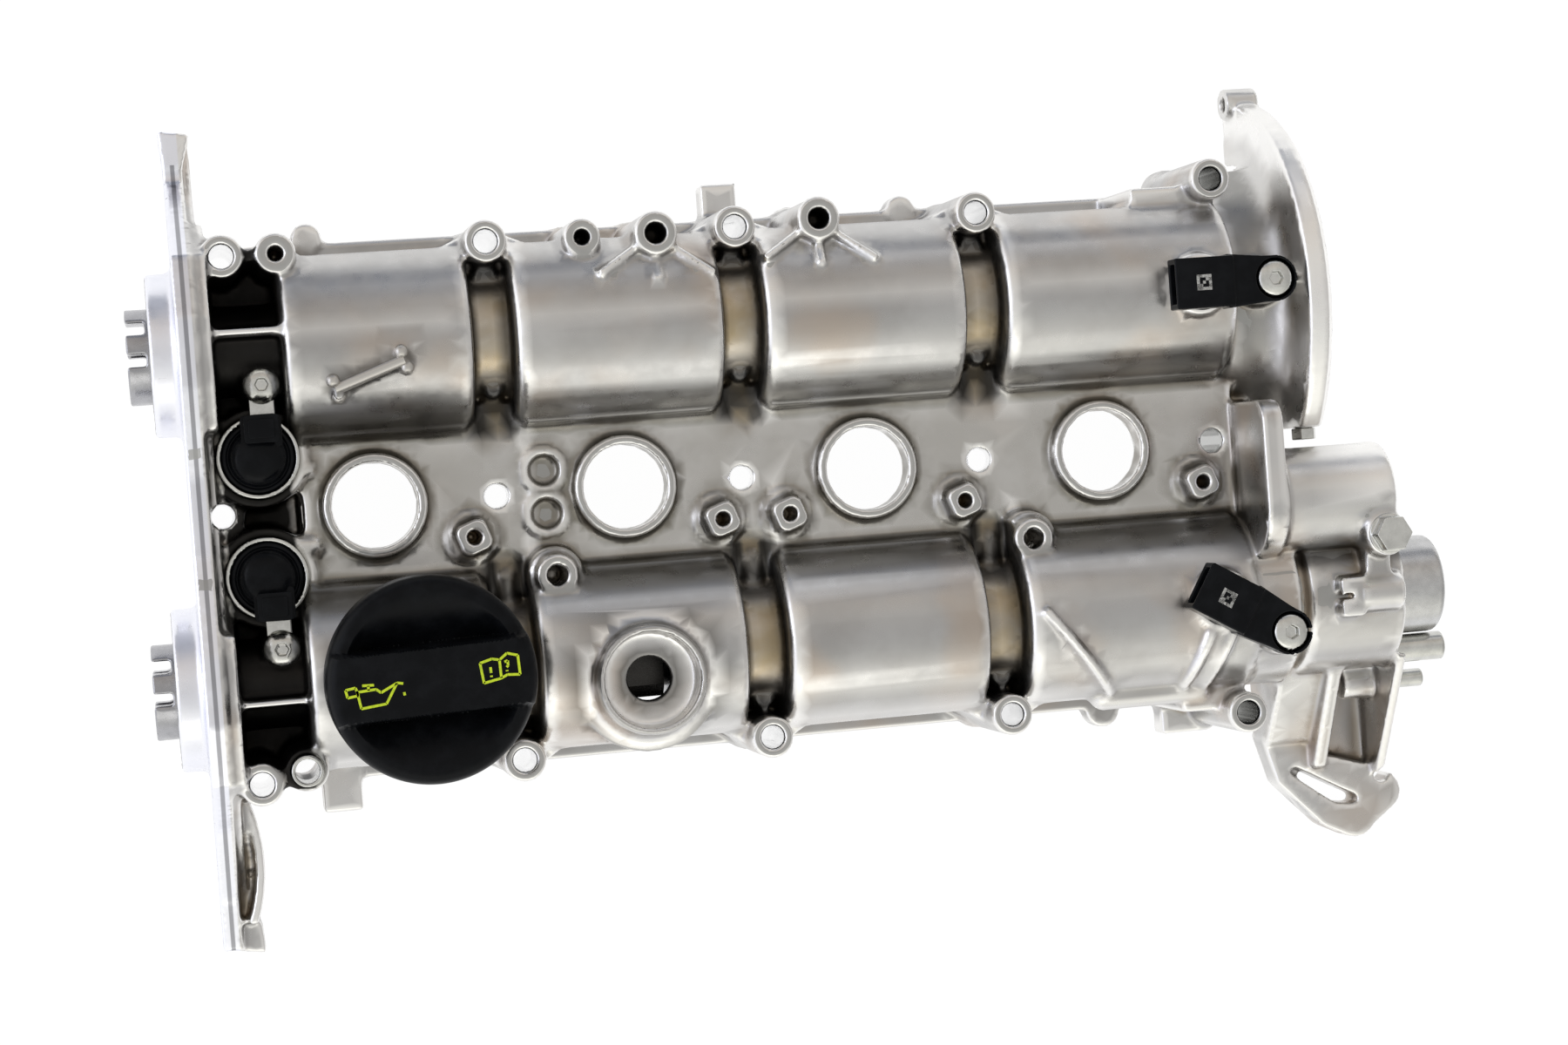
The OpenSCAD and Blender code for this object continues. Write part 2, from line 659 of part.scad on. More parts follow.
// The half-round bell behind the exhaust camshaft
module bell() {
    cavity_r = bell_neck_r - bell_wall;
    x1 = barrel_x1 + bell_depth + bell_flange_t;
    difference() {
        along_x(barrel_x1, bell_y, 0) rotate_extrude($fn = 96) bell_profile();
        along_x(barrel_x1 + bell_wall, bell_y, 0) rotate_extrude($fn = 96) polygon(concat(
            [[0, 0], [cavity_r - 6, 0]],
            arc([cavity_r - 6, 6], 6, -90, 0, 4),
            [for (t = [30:20:90])
                [cavity_r + (bell_throat_r - bell_neck_r) * (1 - cos(t)), 6 + (bell_depth - 9) * sin(t)]],
            [[bell_throat_r - 2, 60], [0, 60]]
        ));
        block([barrel_x1 - 50, -200, -200], [barrel_x1 + 60, bell_end_y, 200]);
        block([barrel_x1 - 5, exhaust_y + 41, -1], [barrel_x1 + bell_depth - 0.5, 200, 80]);
    }
    bar_x(barrel_x1, barrel_x1 + 11, exhaust_y, cam_z, tube_r + 8);
    along_x(barrel_x1 + bell_depth - 3, bell_y + bell_r - 0.5, 9) cylinder(r = 5.5, h = 12);
    block([barrel_x1 + bell_depth, bell_end_y, 2], [x1, bell_end_y + bell_wall, bell_end_z]);
}

// The wall below the bell and the side pipe
module side_pipe() {
    x0 = barrel_x1 + 7;
    corner = 8;
    translate([x0 - 6, 0, 0]) rotate([90, 0, 90]) linear_extrude(7.5) union() {
        translate([side_pipe_y, side_pipe_z]) circle(r = side_disc_r);
        translate([side_pipe_y - side_disc_r, 1]) square([2 * side_disc_r, side_pipe_z - 1]);
        translate([side_pipe_y, 1])
            square([side_wall_y + corner - side_pipe_y, side_pipe_z + side_disc_r - corner - 1]);
        translate([side_wall_y, side_pipe_z + side_disc_r - corner]) circle(r = corner);
        translate([side_pipe_y, side_pipe_z]) square([side_wall_y - side_pipe_y, side_disc_r]);
    }
    along_x(x0, side_pipe_y, side_pipe_z) drum(side_pipe_r, side_pipe_len, 1.6);
    block([x0, side_pipe_y - 13, 2], [x0 + side_pipe_len - 4, side_pipe_y + 13, side_pipe_z]);
}

// The stepped body round the rear end of the intake camshaft
module rear_tail() {
    bar_x(barrel_x1 - 3, barrel_x1 + 15, intake_y, cam_z, barrel_r - 2);
    bar_x(barrel_x1, barrel_x1 + 21, intake_y, cam_z, barrel_r - 8);
    along_x(barrel_x1 + 19, intake_y, cam_z) drum(barrel_r - 4, tail_x1 - barrel_x1 - 19, 2);
    block([barrel_x1 - 2, intake_y - 27, 0], [tail_x1 - 3, intake_y + 27, cam_z]);
    boss(plug_seat[0], plug_seat[1], cam_z, plug_seat[2], 7.6, 1);
    block([barrel_x1 + 28, intake_y - 7.5, cam_z], [barrel_x1 + 36.5, intake_y + 6, tail_top + 5]);
    bar_x(barrel_x1 + 36, tail_x1 - 3, intake_y, tail_top, 6.5);
    block([barrel_x1 + 38, intake_y + 6, cam_z], [barrel_x1 + 47, intake_y + 14.5, tail_top + 4]);
    bar_x(tail_x1 - 12, tail_x1, pin_y, pin_z, 5.6);
    block([tail_x1 - 12, pin_y, pin_z - 4], [tail_x1, pin_y + 12, pin_z + 4]);
}

// The mounting bracket that hangs from the tail
module rear_bracket() {
    x0 = barrel_x1 + 15;
    x1 = barrel_x1 + 59;
    foot_t = 12;
    y1 = intake_y - 27;
    linear_extrude(foot_t) difference() {
        polygon(concat(
            [[x0 - 1, y1 - 23.5], [x0 + 5, y1 - 23], [x0 + 20, y1 - 31], [x1 + 2, y1 - 39]],
            arc([x1 - 1, y1 - 47], 7, 50, -50, 4),
            arc([x1 - 12, y1 - 54], 8.5, -30, -110, 4),
            [[x0 + 20, y1 - 57.5], [x0 + 4, y1 - 41]]
        ));
        polygon([
            [x0 + 9, y1 - 34.5], [x0 + 27, y1 - 44.5], [x0 + 34, y1 - 48], [x0 + 33, y1 - 50.5],
            [x0 + 25, y1 - 49.5], [x0 + 8.5, y1 - 37.5]
        ]);
    }
    for (r = [[x0 + 16, 5, 40, -36], [x1 - 5, 3.4, 44, -40]])
        translate([r[0], 0, 0]) rotate([90, 0, 90]) linear_extrude(r[1]) polygon([
            [y1 + r[3], 0], [y1 + r[3], foot_t + 4], [y1 + 4, r[2]], [y1 + 4, 0]
        ]);
    block([x0 + 18, y1 - 36, 0], [x1 - 4, y1 + 2, 6]);
    translate([x0, 0, 0]) rotate([90, 0, 90]) linear_extrude(17) polygon([
        [y1 - 26, 0], [y1 - 26, 14], [y1 + 2, 34], [y1 + 2, 0]
    ]);
}

// The neck that the filler cap closes
module filler_neck() {
    footed_boss(filler_x, intake_y, neck_bottom, neck_top, neck_r, 3);
}

module pump_seat() {
    translate([pump_x, pump_y, cam_z + 4]) rotate_extrude() polygon(concat(
        [[0, 0], [pump_seat_r + 3.5, 0], [pump_seat_r + 3.5, pump_top - cam_z - 16]],
        arc([pump_seat_r + 3.5, pump_top - cam_z - 10], 6, -90, -160, 5),
        arc([pump_seat_r - 4.5, pump_top - cam_z - 6], 2, 0, 90, 4),
        [[0, pump_top - cam_z - 4]]
    ));
}

// Raised seats under the two sensors
module sensor_seats() {
    for (s = sensor_places)
        translate([probe_x, s[0], 0]) {
            boss(0, 0, cam_z + 20, sensor_z, probe_r + 4, 1);
            rotate([0, 0, s[1]]) boss(sensor_reach, 0, cam_z + 14, sensor_z, 8, 1);
        }
}

// The hollow spaces that open downwards, one bay between each pair of webs
module bays() {
    for (e = bay_ends) {
        for (cy = cams) {
            outer_y = cy > 0 ? cy + bay_half : cy - bay_half;
            inner_y = cy > 0 ? cy - tunnel_r + 0.5 : cy + tunnel_r - 0.5;
            intersection() {
                bar_x(e[0], e[1], cy, cam_z, tunnel_r);
                block([e[0] - 1, min(outer_y, inner_y), -5], [e[1] + 1, max(outer_y, inner_y), 100]);
            }
            block([e[0], min(outer_y, inner_y), -5], [e[1], max(outer_y, inner_y), cam_z]);
        }
        block([e[0], intake_y + ring_r - 1.5, -5], [e[1], exhaust_y - ring_r + 1.5, plate_under]);
    }
    block([barrel_x0 + barrel_wall, intake_y + ring_r + 7.5, -5],
          [rear_web_x0, exhaust_y - ring_r - 7.5, plate_under]);
}

// Pads that the hollow spaces leave under the plate
module inner_pads() {
    for (x = web_x) {
        for (y = [exhaust_y - ring_r - 10, intake_y + ring_r + 10])
            translate([x, y, plate_top - slot_depth - 5]) cylinder(r = groove_w / 2 + 3, h = 8);
        translate([x - centre_shift, plug_line_y, plate_under - 2])
            cylinder(r = bolt_hole_r + 4.5, h = plate_t + 1);
    }
    for (b = concat(plate_bosses, tall_bosses))
        translate([b[0], plug_line_y + b[1], plate_under - 6]) cylinder(r = tap_boss_r, h = 8);
    for (s = sensor_places)
        translate([probe_x, s[0], cam_z + tunnel_r - 2.5]) cylinder(r = probe_r + 2.5, h = 5);
}

// Slots where the grooves run into the plate
module groove_slots() {
    for (x = web_x) {
        for (p = [[exhaust_y - ring_r - 10, exhaust_y - ring_r + 6], [intake_y + ring_r - 6, intake_y + ring_r + 10]]) {
            end_y = abs(p[0] - plug_line_y) < abs(p[1] - plug_line_y) ? p[0] : p[1];
            difference() {
                union() {
                    block([x - groove_w / 2 + 0.4, p[0], plate_top - slot_depth],
                          [x + groove_w / 2 - 0.4, p[1], plate_top + 10]);
                    translate([x, end_y, plate_top - slot_depth])
                        cylinder(r = groove_w / 2 - 0.4, h = slot_depth + 10);
                }
                for (cy = cams) bar_x(x - 20, x + 20, cy, cam_z, ring_r);
            }
        }
    }
}

module bolt_holes() {
    for (x = web_x) {
        for (s = sides) translate([x, s * bolt_row_y, -1]) cylinder(r = bolt_hole_r, h = 90);
        translate([x - centre_shift, plug_line_y, -1]) cylinder(r = bolt_hole_r, h = 90);
    }
    for (s = sides) {
        translate([front_bolt_x, s * bolt_row_y, -1]) cylinder(r = bolt_hole_r, h = 90);
        translate([rear_bolt_x, s * rear_row_y, -1]) cylinder(r = bolt_hole_r, h = 90);
    }
    translate([front_centre_x, plug_line_y, -1]) cylinder(r = bolt_hole_r, h = 90);
    translate([rear_bolt_x - 1, plug_line_y + 0.5, -1]) cylinder(r = bolt_hole_r, h = 90);
    translate([barrel_x0 - 2.6, -bolt_row_y + 3.2, -1]) cylinder(r = bolt_hole_r + 1.2 + fit_gap, h = 90);
}

module tapped_holes() {
    for (b = exhaust_bosses) translate([b[0], b[1], b[2] - 12]) cylinder(r = b[4], h = 20);
    translate([barrel_x0, bolt_row_y, boss_top - 16]) cylinder(r = tap_small_r, h = 20);
    for (b = plate_bosses)
        translate([b[0], plug_line_y + b[1], plate_under - 2]) cylinder(r = tap_small_r, h = 30);
    for (b = tall_bosses)
        translate([b[0], plug_line_y + b[1], plate_under - 2]) cylinder(r = tap_large_r, h = 40);
    for (dy = [7.3, -7]) translate([-bore_pitch + 14.8, plug_line_y + dy, plate_top - 1.6])
        cylinder(r = 5.2, h = 5);
    translate([plug_seat[0], plug_seat[1], plug_seat[2] - 9]) cylinder(r = 4 + fit_gap, h = 20);
    bar_x(barrel_x1 + 20, barrel_x1 + 34, intake_y - 0.5, tail_top + 2, 2.2);
    translate([barrel_x1 + 58, intake_y - 67.5, -1]) cylinder(r = 3, h = 30);
    bar_x(barrel_x1 + 5, barrel_x1 + 60, bell_y + bell_r - 0.5, 9, 2.6);
    along_y(bell_bolt_x, bell_end_y - 1, bell_bolt_z) cylinder(r = bolt_shank + fit_gap, h = 10);
}

// Bores on the camshaft axes
module shaft_bores() {
    for (cy = cams) {
        bar_x(flange_x0 - 4, rear_web_x0 + 1, cy, cam_z, tube_r + running_gap);
        bar_x(hub_x0 - 1, bearing_x1 + seat_gap, cy, cam_z, bearing_r + fit_gap);
    }
    bar_x(rear_web_x0, tube_x1_ex + 3, exhaust_y, cam_z, tube_r + running_gap);
    bar_x(rear_web_x0, tube_x1_in + 1, intake_y, cam_z, tube_r + running_gap);
}

// Bores for the valves, the sensors, the cap and the pump
module fitting_bores() {
    for (y = [plug_line_y + exhaust_valve_y, plug_line_y - intake_valve_y])
        translate([valve_x, y, 6]) cylinder(r = valve_r + fit_gap, h = 60);
    for (y = [exhaust_y - 12, intake_y + 11.5])
        translate([valve_x + 2.8, y, well_top - 2.8]) cylinder(r = bolt_shank + fit_gap, h = 30);
    for (s = sensor_places)
        translate([probe_x, s[0], cam_z + 20]) {
            cylinder(r = probe_r + fit_gap, h = 40);
            rotate([0, 0, s[1]]) translate([sensor_reach, 0, 0])
                cylinder(r = bolt_shank + fit_gap, h = 40);
        }
    translate([filler_x, intake_y, cam_z + 10]) cylinder(r = throat_r, h = 60);
    translate([pump_x, pump_y, pump_top - pump_socket_h]) cylinder(r = pump_socket_r, h = 40);
    translate([pump_x, pump_y, cam_z + 4]) cylinder(r = pump_hole_r, h = 60);
    for (x = plug_x) translate([x, plug_line_y, plate_under - 5]) cylinder(r = plug_r, h = 40);
}

// Pocket in the bell that clears the exhaust sensor
module sensor_pocket() {
    translate([probe_x + sensor_reach, exhaust_y, sensor_z]) cylinder(r = 10.5, h = 60);
    block([barrel_x1 - 10, exhaust_y - 10.5, sensor_z],
          [probe_x + sensor_reach, exhaust_y + 10.5, sensor_z + 60]);
}

// Bores in the rear end for the pieces pressed or screwed into it
module rear_bores() {
    bar_x(tail_x1 - 8, tail_x1 + 5, intake_y, cam_z, end_cap_r - 2 + fit_gap);
    bar_x(tail_x1 - 12, tail_x1 + 5, return_pipe_y, cam_z, return_pipe_r + fit_gap);
    bar_x(tail_x1 - 10, tail_x1 + 5, pin_y, pin_z, pin_r + fit_gap);
}

module camshaft_housing() {
    color("silver") difference() {
        union() {
            difference() {
                union() {
                    joint_flange();
                    core_block();
                    barrels();
                    recess_body();
                    edge_bosses();
                    boss_webs();
                    exhaust_tapped_bosses();
                    plate_tapped_bosses();
                    sensor_seats();
                    clamping_pads();
                    barrel_feet();
                    oil_ribs();
                    casting_mark();
                    filler_neck();
                    pump_seat();
                    side_pipe();
                    rear_tail();
                    bell();
                    timing_flange();
                }
                bays();
                groove_slots();
                sensor_pocket();
            }
            inner_pads();
            oil_fingers();
            plug_collars();
            rear_bracket();
            flange_loop();
        }
        bolt_holes();
        tapped_holes();
        shaft_bores();
        fitting_bores();
        rear_bores();
        block([-big, -big, -big], [big, big, 0]);
    }
}

// Front ball bearings and oil seals
module bearing_outer_ring(cy) {
    color("gainsboro") difference() {
        bar_x(bearing_x0, bearing_x0 + bearing_w, cy, cam_z, bearing_r);
        bar_x(bearing_x0 - 1, bearing_x0 + bearing_w + 1, cy, cam_z, bearing_pitch_r + ball_r - 0.9);
        along_x(bearing_x0 + bearing_w / 2, cy, cam_z)
            rotate_extrude() translate([bearing_pitch_r, 0]) circle(r = ball_r + seat_gap);
    }
}

module bearing_inner_ring(cy) {
    color("gainsboro") difference() {
        bar_x(bearing_x0, bearing_x0 + bearing_w, cy, cam_z, bearing_pitch_r - ball_r + 0.9);
        bar_x(bearing_x0 - 1, bearing_x0 + bearing_w + 1, cy, cam_z, tube_r + 1 + fit_gap);
        along_x(bearing_x0 + bearing_w / 2, cy, cam_z)
            rotate_extrude() translate([bearing_pitch_r, 0]) circle(r = ball_r + seat_gap);
    }
}

module bearing_balls(cy) {
    color("lightgray") along_x(bearing_x0 + bearing_w / 2, cy, cam_z)
        for (i = [0:ball_count - 1]) rotate([0, 0, i * 360 / ball_count])
            translate([bearing_pitch_r, 0, 0]) sphere(r = ball_r);
}

module front_seal(cy) {
    lip = shaft_end_r + running_gap;
    web = seal_w - 2.2;
    color("dimgray") along_x(hub_x0 + 0.5, cy, cam_z) rotate_extrude() polygon([
        [lip, 0.4], [lip + 1.4, 0.4], [lip + 2.2, 1.6], [bearing_r - 1.8, 1.6], [bearing_r - 1.4, 0],
        [bearing_r, 0.4], [bearing_r, seal_w], [bearing_r - 1.6, seal_w], [bearing_r - 2.2, web],
        [lip + 2, web], [lip + 1.8, seal_w - 0.4], [lip, seal_w - 1.4]
    ]);
}

// Camshaft pieces
module cam_tube(cy, x1) {
    color("gray") along_x(tube_x0, cy, cam_z) ring(tube_r, tube_r - tube_wall, x1 - tube_x0);
}

module cam_outline() {
    difference() {
        union() {
            circle(r = cam_base_r);
            reach = cam_base_r + cam_lift - cam_nose_r;
            translate([reach, 0]) circle(r = cam_nose_r);
            tilt = acos((cam_base_r - cam_nose_r) / reach);
            polygon([
                cam_base_r * [cos(tilt), sin(tilt)],
                [reach, 0] + cam_nose_r * [cos(tilt), sin(tilt)],
                [reach, 0] + cam_nose_r * [cos(tilt), -sin(tilt)],
                cam_base_r * [cos(tilt), -sin(tilt)]
            ]);
        }
        circle(r = tube_r + fit_gap);
    }
}

// Cams of the four cylinders, turned for the firing order one, three, four, two
cam_turns = [0, 90, 270, 180];

module cam_lobes(cy, turn) {
    color("slategray") for (i = [0:3], s = [-1, 1])
        along_x(plug_x[i] + s * cam_pair / 2 - cam_w / 2, cy, cam_z)
            rotate([0, 0, turn + cam_turns[i]]) linear_extrude(cam_w) cam_outline();
}

module trigger_wheel(cy, turn) {
    color("darkgray") along_x(trigger_x, cy, cam_z) rotate([0, 0, turn]) difference() {
        cylinder(r = trigger_r, h = trigger_t);
        for (a = [[0, 62], [110, 34], [200, 48], [285, 26]])
            rotate([0, 0, a[0]]) difference() {
                rotate_extrude(angle = a[1]) translate([trigger_r - 4, -1]) square([8, trigger_t + 2]);
            }
        translate([0, 0, -1]) cylinder(r = tube_r + fit_gap, h = trigger_t + 2);
    }
}

// The end piece that carries the front bearing and the timing drive
module shaft_end(cy) {
    color("lightsteelblue") difference() {
        union() {
            bar_x(shaft_x0, bearing_x0 - 0.2, cy, cam_z, shaft_end_r);
            bar_x(bearing_x0 - 1, bearing_x1 + seat_gap, cy, cam_z, tube_r + 1);
            bar_x(bearing_x1, tube_x0, cy, cam_z, tube_r);
            bar_x(tube_x0 - 1, tube_x0 + 14, cy, cam_z, tube_r - tube_wall - fit_gap);
        }
        bar_x(shaft_x0 - 1, shaft_x0 + 24, cy, cam_z, 6.8);
        for (dy = [8.6, -1.6])
            block([shaft_x0 - 1, cy + dy - shaft_slot_w / 2, cam_z - 30],
                  [shaft_x0 + shaft_stub - 1, cy + dy + shaft_slot_w / 2, cam_z + 30]);
    }
}

module pump_cam() {
    flat_r = tube_r + 2.6;
    color("slategray") along_x(pump_x - 7, intake_y, cam_z) difference() {
        intersection() {
            translate([-flat_r, -flat_r, 0]) cube([2 * flat_r, 2 * flat_r, 14]);
            cylinder(r = flat_r + 3.4, h = 14);
        }
        translate([0, 0, -1]) cylinder(r = tube_r + fit_gap, h = 16);
    }
}

// Control valve: a steel can in its well, a black head, a bracket and a bolt
module valve_can(y) {
    color("lightgray") translate([valve_x, y, 8]) difference() {
        cylinder(r = valve_r, h = well_top + can_h - 8);
        translate([0, 0, 16]) cylinder(r = valve_r - 1.4, h = 60);
    }
}

module valve_head(y, side) {
    z0 = well_top - 6;
    top = well_top + can_h;
    r = valve_r - 1.4 - seat_gap;
    color("black") union() {
        translate([valve_x, y, z0]) rotate_extrude() polygon(concat(
            [[0, 0], [r, 0], [r, top - z0 - 1.5]],
            [for (t = [15:15:90]) [r * cos(t), top - z0 - 1.5 + 5 * sin(t)]]
        ));
        translate([valve_x - 4, y + side * 9 - 4.5, top + seat_gap]) cube([11, 9, 6.4]);
    }
}

module valve_bracket(y, bolt_y) {
    side = bolt_y > y ? 1 : -1;
    z0 = well_top + 2 + seat_gap;
    color("lightgray") difference() {
        union() {
            translate([valve_x + 2.8, bolt_y, z0]) cylinder(r = bolt_head_r - 0.6, h = 2);
            block([valve_x - 1.6, min(bolt_y, y + side * (valve_r + seat_gap)), z0],
                  [valve_x + 6.6, max(bolt_y, y + side * (valve_r + seat_gap)), z0 + 2]);
        }
        translate([valve_x + 2.8, bolt_y, z0 - 1]) cylinder(r = bolt_shank + fit_gap, h = 4);
        translate([valve_x, y, z0 - 1]) cylinder(r = valve_r + seat_gap, h = 4);
    }
}

module valve_bolt(bolt_y) {
    z0 = well_top + 4 + 2 * seat_gap;
    color("gainsboro") translate([valve_x + 2.8, bolt_y, 0]) {
        translate([0, 0, well_top - 2]) cylinder(r = bolt_shank, h = z0 - well_top + 3);
        difference() {
            translate([0, 0, z0]) rotate_extrude() polygon(concat(
                [[0, 0], [bolt_head_r, 0], [bolt_head_r, 0.8]],
                [for (t = [20:14:90]) [bolt_head_r * cos(t), 0.8 + 3.6 * sin(t)]],
                [[0, 4.4]]
            ));
            translate([0, 0, z0 + 2.4]) cylinder(r = 2.2, h = 4, $fn = 6);
        }
    }
}

// Camshaft position sensor, in a frame at its probe on the seat
module sensor_place(cy, turn) {
    translate([probe_x, cy, sensor_z + seat_gap]) rotate([0, 0, turn]) children();
}

module sensor(cy, turn) {
    half = sensor_w / 2;
    color("black") sensor_place(cy, turn) difference() {
        union() {
            translate([-sensor_tip, -half, 0.6]) cube([sensor_tip + 9, sensor_w, sensor_h - 0.6]);
            cylinder(r = probe_r + 2.4, h = 2);
            translate([0, 0, -sensor_depth]) cylinder(r = probe_r - 0.6, h = sensor_depth + 1);
            linear_extrude(sensor_h - 1.5) polygon([
                [7, -half - 0.6], [sensor_reach - 4, -7.8], [sensor_reach + 2, -7.6],
                [sensor_reach + 2, 7.6], [sensor_reach - 4, 7.8], [7, half + 0.6]
            ]);
            translate([sensor_reach, 0, 0]) cylinder(r = 7.8, h = sensor_h - 1.5);
        }
        translate([-sensor_tip - 1, -half + 2, 2.2]) cube([9, sensor_w - 4, sensor_h - 3.8]);
        translate([sensor_reach, 0, -1]) cylinder(r = bolt_shank + fit_gap, h = 20);
        translate([sensor_reach, 0, 3]) cylinder(r = bolt_head_r + 0.6, h = 20);
    }
}

module sensor_seal(cy, turn) {
    color("dimgray") sensor_place(cy, turn) translate([0, 0, -4.2])
        ring(probe_r - 0.02, probe_r - 0.5, 2.4);
}

module sensor_bolt(cy, turn) {
    color("gainsboro") sensor_place(cy, turn) translate([sensor_reach, 0, 0]) {
        translate([0, 0, -12]) cylinder(r = bolt_shank, h = 16);
        difference() {
            translate([0, 0, 3 + seat_gap]) rotate_extrude() polygon(concat(
                [[0, 0], [bolt_head_r, 0], [bolt_head_r, 3.2]],
                [for (t = [20:14:90]) [bolt_head_r * cos(t), 3.2 + 2.2 * sin(t)]],
                [[0, 5.4]]
            ));
            translate([0, 0, 6.2]) cylinder(r = 2.4, h = 4, $fn = 6);
        }
    }
}

// Pieces pressed or screwed into the casting
module dowel_sleeve() {
    color("gainsboro") translate([barrel_x0 - 2.6, -bolt_row_y + 3.2, boss_top - 12])
        ring(bolt_hole_r + 1.2, bolt_hole_r, 14.5);
}

module rear_end_cap() {
    color("silver") union() {
        along_x(tail_x1 + seat_gap, intake_y, cam_z) drum(end_cap_r, end_cap_len, 1.5);
        bar_x(tail_x1 - 7, tail_x1 + 1, intake_y, cam_z, end_cap_r - 2);
    }
}

module hex_plug() {
    color("gainsboro") translate([plug_seat[0], plug_seat[1], plug_seat[2]]) {
        translate([0, 0, seat_gap]) cylinder(r = 7, h = 1);
        translate([0, 0, 1]) cylinder(r = 6.4, h = 5, $fn = 6);
        translate([0, 0, -8]) cylinder(r = 4, h = 10);
    }
}

module return_pipe() {
    color("silver") along_x(tail_x1 - 11, return_pipe_y, cam_z)
        ring(return_pipe_r, return_pipe_r - 1.2, 11 + return_pipe_len);
}

module locating_pin() {
    color("gainsboro") along_x(tail_x1 - 9, pin_y, pin_z) drum(pin_r, 9 + pin_len, 0.6);
}

module bell_bolt() {
    color("gainsboro") along_y(bell_bolt_x, bell_end_y - 4 - seat_gap, bell_bolt_z) {
        cylinder(r = 4.4, h = 4, $fn = 6);
        translate([0, 0, 1]) cylinder(r = bolt_shank, h = 10);
    }
}

// The filler cap and its seal
module oil_cap() {
    rim_z = neck_top + 2 + 2 * seat_gap;
    plug_r2 = throat_r - 0.5;
    color("black") translate([filler_x, intake_y, 0]) difference() {
        union() {
            translate([0, 0, rim_z]) drum(cap_r, cap_top - rim_z, 3);
            translate([0, 0, neck_top - 12]) cylinder(r = plug_r2, h = rim_z - neck_top + 14);
        }
        for (s = sides) rotate([0, 0, -5]) translate([0, s * (grip_w / 2 + 16), cap_top + 9])
            rotate([0, 90, 0]) translate([0, 0, -40]) cylinder(r = 16, h = 80);
        translate([0, 0, neck_top - 13]) cylinder(r = plug_r2 - 3, h = cap_top - neck_top);
    }
}

module oil_cap_seal() {
    color("dimgray") translate([filler_x, intake_y, neck_top + seat_gap])
        ring(neck_r - 0.5, throat_r + 0.5, 2);
}

camshaft_housing();
front_seal(exhaust_y);  // exhaust_front_seal
front_seal(intake_y);  // intake_front_seal
bearing_outer_ring(exhaust_y);  // exhaust_bearing_outer_ring
bearing_outer_ring(intake_y);  // intake_bearing_outer_ring
bearing_balls(exhaust_y);  // exhaust_bearing_balls
bearing_balls(intake_y);  // intake_bearing_balls
valve_can(plug_line_y + exhaust_valve_y);  // exhaust_valve_can
valve_can(plug_line_y - intake_valve_y);  // intake_valve_can
valve_head(plug_line_y + exhaust_valve_y, 1);  // exhaust_valve_head
valve_head(plug_line_y - intake_valve_y, -1);  // intake_valve_head
valve_bracket(plug_line_y + exhaust_valve_y, exhaust_y - 12);  // exhaust_valve_bracket
valve_bracket(plug_line_y - intake_valve_y, intake_y + 11.5);  // intake_valve_bracket
valve_bolt(exhaust_y - 12);  // exhaust_valve_bolt
valve_bolt(intake_y + 11.5);  // intake_valve_bolt
sensor(exhaust_y, 0);  // exhaust_sensor
sensor(intake_y + intake_sensor_shift, intake_sensor_turn);  // intake_sensor
sensor_seal(exhaust_y, 0);  // exhaust_sensor_seal
sensor_seal(intake_y + intake_sensor_shift, intake_sensor_turn);  // intake_sensor_seal
sensor_bolt(exhaust_y, 0);  // exhaust_sensor_bolt
sensor_bolt(intake_y + intake_sensor_shift, intake_sensor_turn);  // intake_sensor_bolt
dowel_sleeve();
rear_end_cap();
hex_plug();
return_pipe();
locating_pin();
bell_bolt();
cam_tube(exhaust_y, tube_x1_ex);  // exhaust_cam_tube
cam_lobes(exhaust_y, 20);  // exhaust_cam_lobes
trigger_wheel(exhaust_y, 15);  // exhaust_trigger_wheel
shaft_end(exhaust_y);  // exhaust_shaft_end
bearing_inner_ring(exhaust_y);  // exhaust_bearing_inner_ring
cam_tube(intake_y, tube_x1_in);  // intake_cam_tube
cam_lobes(intake_y, -95);  // intake_cam_lobes
trigger_wheel(intake_y, 75);  // intake_trigger_wheel
shaft_end(intake_y);  // intake_shaft_end
bearing_inner_ring(intake_y);  // intake_bearing_inner_ring
pump_cam();  // intake_pump_cam
oil_cap();
oil_cap_seal();
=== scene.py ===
"""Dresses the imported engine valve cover: rounded casting, filler cap, valves, sensors, finishes and stage."""

